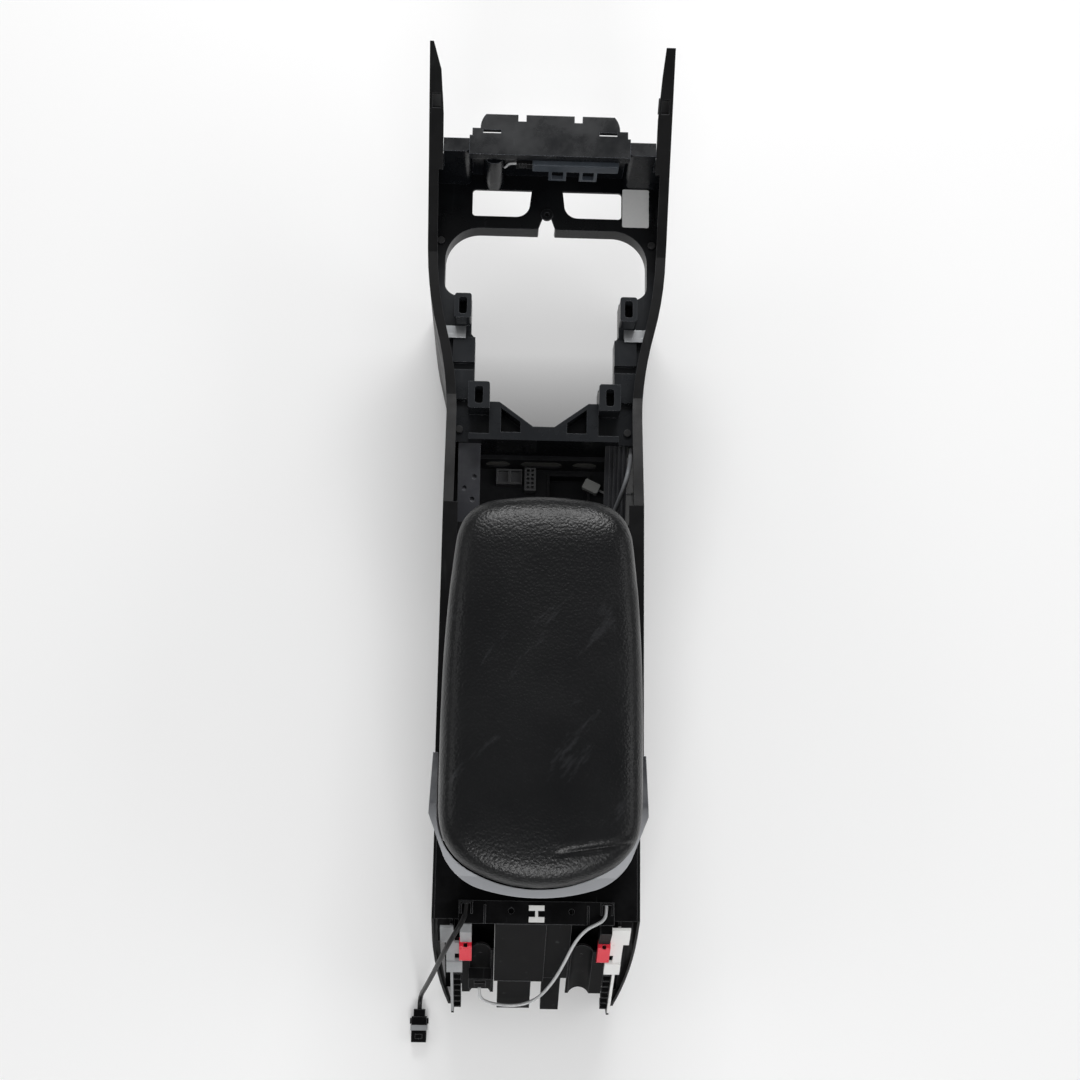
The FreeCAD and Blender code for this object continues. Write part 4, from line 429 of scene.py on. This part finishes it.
def grainedLeatherette(name, look):
    # coated fabric pressed with a pebble grain: soft broad shine broken by the pebbles, dry scuffs
    material, tree, shader, place = newMaterial(name, {
        "IOR": look["ior"], "Specular IOR Level": look["specular"]})
    warp = addNode(tree, "ShaderNodeTexNoise", None, {
        "Vector": place, "Scale": perMm(look["warpMm"]), "Detail": look["warpDetail"]})
    bent = addNode(tree, "ShaderNodeMix", {"data_type": "VECTOR"}, {
        0: look["warpShare"], 4: place, 5: warp.outputs["Color"]})
    pebble = addNode(tree, "ShaderNodeTexVoronoi", {"feature": "SMOOTH_F1"}, {
        "Vector": bent.outputs[1], "Scale": perMm(look["pebbleMm"]),
        "Smoothness": look["pebbleBlend"]})
    pore = addNode(tree, "ShaderNodeTexNoise", None, {
        "Vector": place, "Scale": perMm(look["poreMm"]), "Detail": look["poreDetail"]})
    height = addNode(tree, "ShaderNodeMath", {"operation": "MULTIPLY_ADD"}, {
        0: pore.outputs["Fac"], 1: look["poreShare"], 2: pebble.outputs["Distance"]})
    turned = addNode(tree, "ShaderNodeMapping", {"vector_type": "TEXTURE"}, {
        "Vector": place, "Rotation": (0.0, 0.0, look["scuffTurn"]),
        "Scale": (1.0, look["scuffDraw"], 1.0)})
    scuff = addNode(tree, "ShaderNodeTexNoise", None, {
        "Vector": turned.outputs["Vector"], "Scale": perMm(look["scuffMm"]),
        "Detail": look["scuffDetail"], "Roughness": look["scuffRoughness"]})
    dry = addNode(tree, "ShaderNodeMapRange", None, {
        "Value": scuff.outputs["Fac"], "From Min": look["scuffFrom"], "From Max": look["scuffTo"],
        "To Min": 0.0, "To Max": look["scuffMost"]})
    tone = addNode(tree, "ShaderNodeMix", {"data_type": "RGBA"}, {
        0: dry.outputs["Result"], 6: linear(look["colour"]), 7: linear(look["pale"])})
    cloud = addNode(tree, "ShaderNodeTexNoise", None, {
        "Vector": place, "Scale": perMm(look["cloudMm"]), "Detail": look["cloudDetail"]})
    shine = addNode(tree, "ShaderNodeMapRange", None, {
        "Value": cloud.outputs["Fac"], "From Min": look["cloudFrom"], "From Max": look["cloudTo"],
        "To Min": look["roughLeast"], "To Max": look["roughMost"]})
    bump = addNode(tree, "ShaderNodeBump", {"invert": True}, {
        "Height": height.outputs["Value"], "Strength": look["grainStrength"],
        "Distance": look["grainDepthMm"] * mm})
    tree.links.new(tone.outputs[2], shader.inputs["Base Color"])
    tree.links.new(shine.outputs["Result"], shader.inputs["Roughness"])
    tree.links.new(bump.outputs["Normal"], shader.inputs["Normal"])
    return material


finishes["grainedLeatherette"] = grainedLeatherette("grainedLeatherette", leather)

pad = {
    "weld": 0.01, "voxel": 6.0, "evenTurns": 3, "settleTurns": 6, "relaxShare": 0.5, "levels": 2,
    "seam": 283.0, "hold": 6.0,  # the cover is glued down to this height above its seam
    "shrink": 1.0, "pressure": 3.0, "stiffness": 60.0, "frames": 20,
    "cap": 3.0,  # the most that the foam may push the cover out
    "frontLip": (-46.0, 13.0, 12.0),  # where the top starts to fall, where it ends, and by how much
    "rearLip": (-290.0, -382.0, 12.0),
    "sideFall": 2.0, "half": 102.0, "proud": 1.5,  # proud at the rear end
    "creaseFrom": (24.0, -350.0), "creaseTo": (88.0, -340.0), "creaseDepth": 2.6,
    "creaseWidth": 2.6, "creaseFade": 0.2,  # share of its length that it runs out by at each end
    "foldRise": 1.8, "foldWidth": 8.0,
    "topward": 0.1,  # least upward lean of the cover that takes the crease
}


def relax(bm, turns):
    for turn in range(turns):
        bmesh.ops.smooth_vert(
            bm, verts=bm.verts, factor=pad["relaxShare"],
            use_axis_x=True, use_axis_y=True, use_axis_z=True)


def fillWithFoam(piece):
    base = min(v.co.z for v in piece.data.vertices)
    start = [v.co.copy() for v in piece.data.vertices]
    glued = [v.index for v in piece.data.vertices if v.co.z < base + pad["hold"] * mm]
    piece.vertex_groups.new(name="glued").add(glued, 1.0, "REPLACE")
    cloth = piece.modifiers.new("foam", "CLOTH")
    cloth.settings.use_pressure = True
    cloth.settings.uniform_pressure_force = pad["pressure"]
    cloth.settings.tension_stiffness = pad["stiffness"]
    cloth.settings.compression_stiffness = pad["stiffness"]
    cloth.settings.shear_stiffness = pad["stiffness"]
    cloth.settings.bending_stiffness = pad["stiffness"]
    cloth.settings.vertex_group_mass = "glued"
    cloth.settings.effector_weights.gravity = 0
    cloth.point_cache.frame_end = pad["frames"]
    for step in range(1, pad["frames"] + 1):
        scene.frame_set(step)
    swollen = baked(piece)
    piece.modifiers.remove(cloth)
    limit = pad["cap"] * mm
    for vertex, before, after in zip(piece.data.vertices, start, swollen.vertices):
        move = after.co - before
        if move.length > limit:
            move *= limit / move.length
        vertex.co = before + move
    scene.frame_set(1)


def crownTop(bm, low, high):
    # draws the relaxed form out to the outline of its CAD solid, then lets the top fall to its lips
    now = [[bound(v.co[axis] for v in bm.verts) for bound in (min, max)] for axis in range(3)]
    for vertex in bm.verts:
        for axis, (least, most) in enumerate(now):
            share = (vertex.co[axis] - least) / (most - least)
            vertex.co[axis] = low[axis] + share * (high[axis] - low[axis])
        lift = (vertex.co.z - low[2]) / (high[2] - low[2])
        fall = pad["sideFall"] * (vertex.co.x / mm / pad["half"]) ** 2
        for begin, end, depth in (pad["frontLip"], pad["rearLip"]):
            fall += depth * max(0.0, (vertex.co.y / mm - begin) / (end - begin)) ** 2
        vertex.co.z -= fall * lift * mm


def pressCrease(mesh):
    begin = Vector(pad["creaseFrom"]) * mm
    end = Vector(pad["creaseTo"]) * mm
    run = end - begin
    across = Vector((-run.y, run.x)).normalized()
    fadeOut = pad["creaseFade"]
    normals = [vertex.normal.copy() for vertex in mesh.vertices]
    for vertex, normal in zip(mesh.vertices, normals):
        if normal.z < pad["topward"]:
            continue
        offset = Vector(vertex.co.xy) - begin
        along = offset.dot(run) / run.length_squared
        if not -fadeOut < along < 1 + fadeOut:
            continue
        fade = math.sin(math.pi * (along + fadeOut) / (1 + 2 * fadeOut))
        distance = offset.dot(across) / mm
        valley = pad["creaseDepth"] * math.exp(-(distance / pad["creaseWidth"]) ** 2)
        beside = (distance - pad["foldWidth"]) / pad["foldWidth"]
        fold = pad["foldRise"] * math.exp(-beside ** 2)
        vertex.co += normal * (fold - valley) * fade * mm


def makePad():
    source = nodes["armrest_cushion"]
    corners = [source.matrix_world @ v.co for v in source.data.vertices]
    low = [min(c[axis] for c in corners) for axis in range(3)]
    high = [max(c[axis] for c in corners) for axis in range(3)]
    low[1] -= pad["proud"] * mm
    bm = bmesh.new()
    bm.from_mesh(source.data)
    bmesh.ops.remove_doubles(bm, verts=bm.verts, dist=pad["weld"] * mm)
    piece = meshFrom("armrestPad", bm)
    remesh = piece.modifiers.new("even", "REMESH")
    remesh.mode = "VOXEL"
    remesh.voxel_size = pad["voxel"] * mm
    even = baked(piece)
    piece.modifiers.clear()
    piece.data = even
    bm = bmesh.new()
    bm.from_mesh(even)
    relax(bm, pad["evenTurns"])
    bm.normal_update()
    for vertex in bm.verts:
        if vertex.co.z > (pad["seam"] + pad["hold"]) * mm:
            vertex.co -= vertex.normal * pad["shrink"] * mm
    bm.to_mesh(even)
    bm.free()
    fillWithFoam(piece)
    bm = bmesh.new()
    bm.from_mesh(piece.data)
    relax(bm, pad["settleTurns"])
    crownTop(bm, low, high)
    bm.to_mesh(piece.data)
    bm.free()
    smooth = piece.modifiers.new("smooth", "SUBSURF")
    smooth.levels = smooth.render_levels = pad["levels"]
    dense = baked(piece)
    piece.modifiers.clear()
    piece.data = dense
    pressCrease(dense)
    for polygon in dense.polygons:
        polygon.use_smooth = True
    print("pad triangles:", 2 * len(dense.polygons))
    finishPiece(piece, "armrest_lid", finishes["grainedLeatherette"],
                ["armrest_cushion"])


makePad()
print("armrest pad filled")


# blank paper label on the deck

label = {
    "low": (87.5, 367.5, 200.0), "high": (118.5, 415.0, 200.3), "corner": 2.0, "cornerSteps": 4,
    "colour": "#e6e7e8", "pale": "#f3f3f1", "rough": 0.45,
    "fibreMm": 3,  # clumps of fibres, coarser than real so that they show
    "fibreDetail": 5.0, "fibreStrength": 0.15, "fibreDepthMm": 0.1,
}


def paperLabel(name, look):  # coated paper: clean white with a faint shine
    material, tree, shader, place = newMaterial(name, {"Roughness": look["rough"]})
    fibre = addNode(tree, "ShaderNodeTexNoise", None, {
        "Vector": place, "Scale": perMm(look["fibreMm"]), "Detail": look["fibreDetail"]})
    tone = addNode(tree, "ShaderNodeMix", {"data_type": "RGBA"}, {
        0: fibre.outputs["Fac"], 6: linear(look["colour"]), 7: linear(look["pale"])})
    bump = addNode(tree, "ShaderNodeBump", None, {
        "Height": fibre.outputs["Fac"], "Strength": look["fibreStrength"],
        "Distance": look["fibreDepthMm"] * mm})
    tree.links.new(tone.outputs[2], shader.inputs["Base Color"])
    tree.links.new(bump.outputs["Normal"], shader.inputs["Normal"])
    return material


def makeLabel():
    bm = boxBetween(label["low"], label["high"])
    middle = (label["low"][2] + label["high"][2]) / 2 * mm
    upright = [e for e in bm.edges if len({v.co.z > middle for v in e.verts}) == 2]
    bmesh.ops.bevel(bm, geom=upright, offset=label["corner"] * mm, affect="EDGES",
                    segments=label["cornerSteps"], profile=0.5, material=-1)
    piece = meshFrom("blankLabel", bm)
    finishPiece(piece, "console", paperLabel("coatedPaper", label))


makeLabel()
print("label placed")


# felt in the three blind slots of the panel below the deck

felt = {
    "face": 97.95, "thick": 0.3, "middle": 134.0, "radius": 7.6, "arcSteps": 12,
    "runs": {"leftFelt": (-64, -36), "middleFelt": (-24, 24), "rightFelt": (36, 64)},
}


def makeFelt(name, run):
    bm = bmesh.new()
    for end, side in ((run[1] - felt["radius"], -1), (run[0] + felt["radius"], 1)):
        middle = Vector((end, felt["face"], felt["middle"]))
        first = bm.verts.new((middle + Vector((0, 0, side * felt["radius"]))) * mm)
        bmesh.ops.spin(bm, geom=[first], cent=middle * mm, axis=(0, -1, 0), angle=math.pi,
                       steps=felt["arcSteps"])
    face = bm.faces.new(bm.verts[:])
    deep = bmesh.ops.extrude_face_region(bm, geom=[face])
    moved = [v for v in deep["geom"] if isinstance(v, bmesh.types.BMVert)]
    bmesh.ops.translate(bm, vec=Vector((0, felt["thick"], 0)) * mm, verts=moved)
    bmesh.ops.recalc_face_normals(bm, faces=bm.faces)
    finishPiece(meshFrom(name, bm), "console", finishes["needleFelt"])


for name, run in felt["runs"].items():
    makeFelt(name, run)
print("felt strips placed:", len(felt["runs"]))


# foam strip that closes the gap between the left panel and its rail

foam = {"low": (-105.2, 36.0, 166.0), "high": (-95.2, 103.5, 178.0), "round": 2.0, "roundSteps": 3}


def makeFoam():
    bm = boxBetween(foam["low"], foam["high"])
    bmesh.ops.bevel(bm, geom=bm.edges[:], offset=foam["round"] * mm, affect="EDGES",
                    segments=foam["roundSteps"], profile=0.5, material=-1)
    finishPiece(meshFrom("leftSealFoam", bm), "console", finishes["sealFoam"])


makeFoam()
print("foam strip placed")


# studio, in metres and watts: pale floor, soft boxes round the object

studio = {
    "floorSize": 14.0, "floorColour": "#eaeaea", "floorRough": 0.9, "floorLift": 0.14,
    "white": "#ffffff", "world": 0.24, "aim": (0.0, 0.0, 0.2),
    "boxes": {
        "rearBox": {"spot": (0.0, -2.3, 1.9), "size": (1.2, 0.5), "power": 31.0},
        "frontBox": {"spot": (0.1, 2.3, 2.0), "size": (1.6, 0.8), "power": 54.0},
        "leftBox": {"spot": (-2.2, 0.1, 1.8), "size": (2.2, 0.9), "power": 8.0},
        "rightBox": {"spot": (2.2, -0.1, 1.8), "size": (2.2, 0.9), "power": 13.0},
    },
}


def setStudio():
    bm = bmesh.new()
    bmesh.ops.create_grid(bm, x_segments=1, y_segments=1, size=studio["floorSize"] / 2)
    floor = meshFrom("studioFloor", bm)
    material, tree, shader = newMaterial("paleFloorPaper", {
        "Roughness": studio["floorRough"], "Base Color": linear(studio["floorColour"]),
        "Emission Color": linear(studio["white"])})[:3]
    rays = addNode(tree, "ShaderNodeLightPath").outputs
    mirrored = addNode(tree, "ShaderNodeMath", {"operation": "MAXIMUM"}, {
        0: rays["Is Glossy Ray"], 1: rays["Is Transmission Ray"]})
    seen = addNode(tree, "ShaderNodeMath", {"operation": "MAXIMUM"}, {
        0: rays["Is Camera Ray"], 1: mirrored.outputs["Value"]})
    lifted = addNode(tree, "ShaderNodeMath", {"operation": "MULTIPLY"}, {
        0: seen.outputs["Value"], 1: studio["floorLift"]})
    tree.links.new(lifted.outputs["Value"], shader.inputs["Emission Strength"])
    floor.data.materials.append(material)
    world = bpy.data.worlds.new("studioWorld")
    scene.world = world
    world.use_nodes = True
    sky = world.node_tree.nodes["Background"]
    sky.inputs["Color"].default_value = linear(studio["white"])
    sky.inputs["Strength"].default_value = studio["world"]
    aim = Vector(studio["aim"])
    for name, box in studio["boxes"].items():
        lamp = bpy.data.lights.new(name, "AREA")
        lamp.shape = "RECTANGLE"
        lamp.size, lamp.size_y = box["size"]
        lamp.energy = box["power"]
        holder = link(name, lamp)
        spot = Vector(box["spot"])
        holder.location = spot
        holder.rotation_mode = "QUATERNION"
        holder.rotation_quaternion = (aim - spot).to_track_quat("-Z", "Y")


setStudio()
print("studio set")
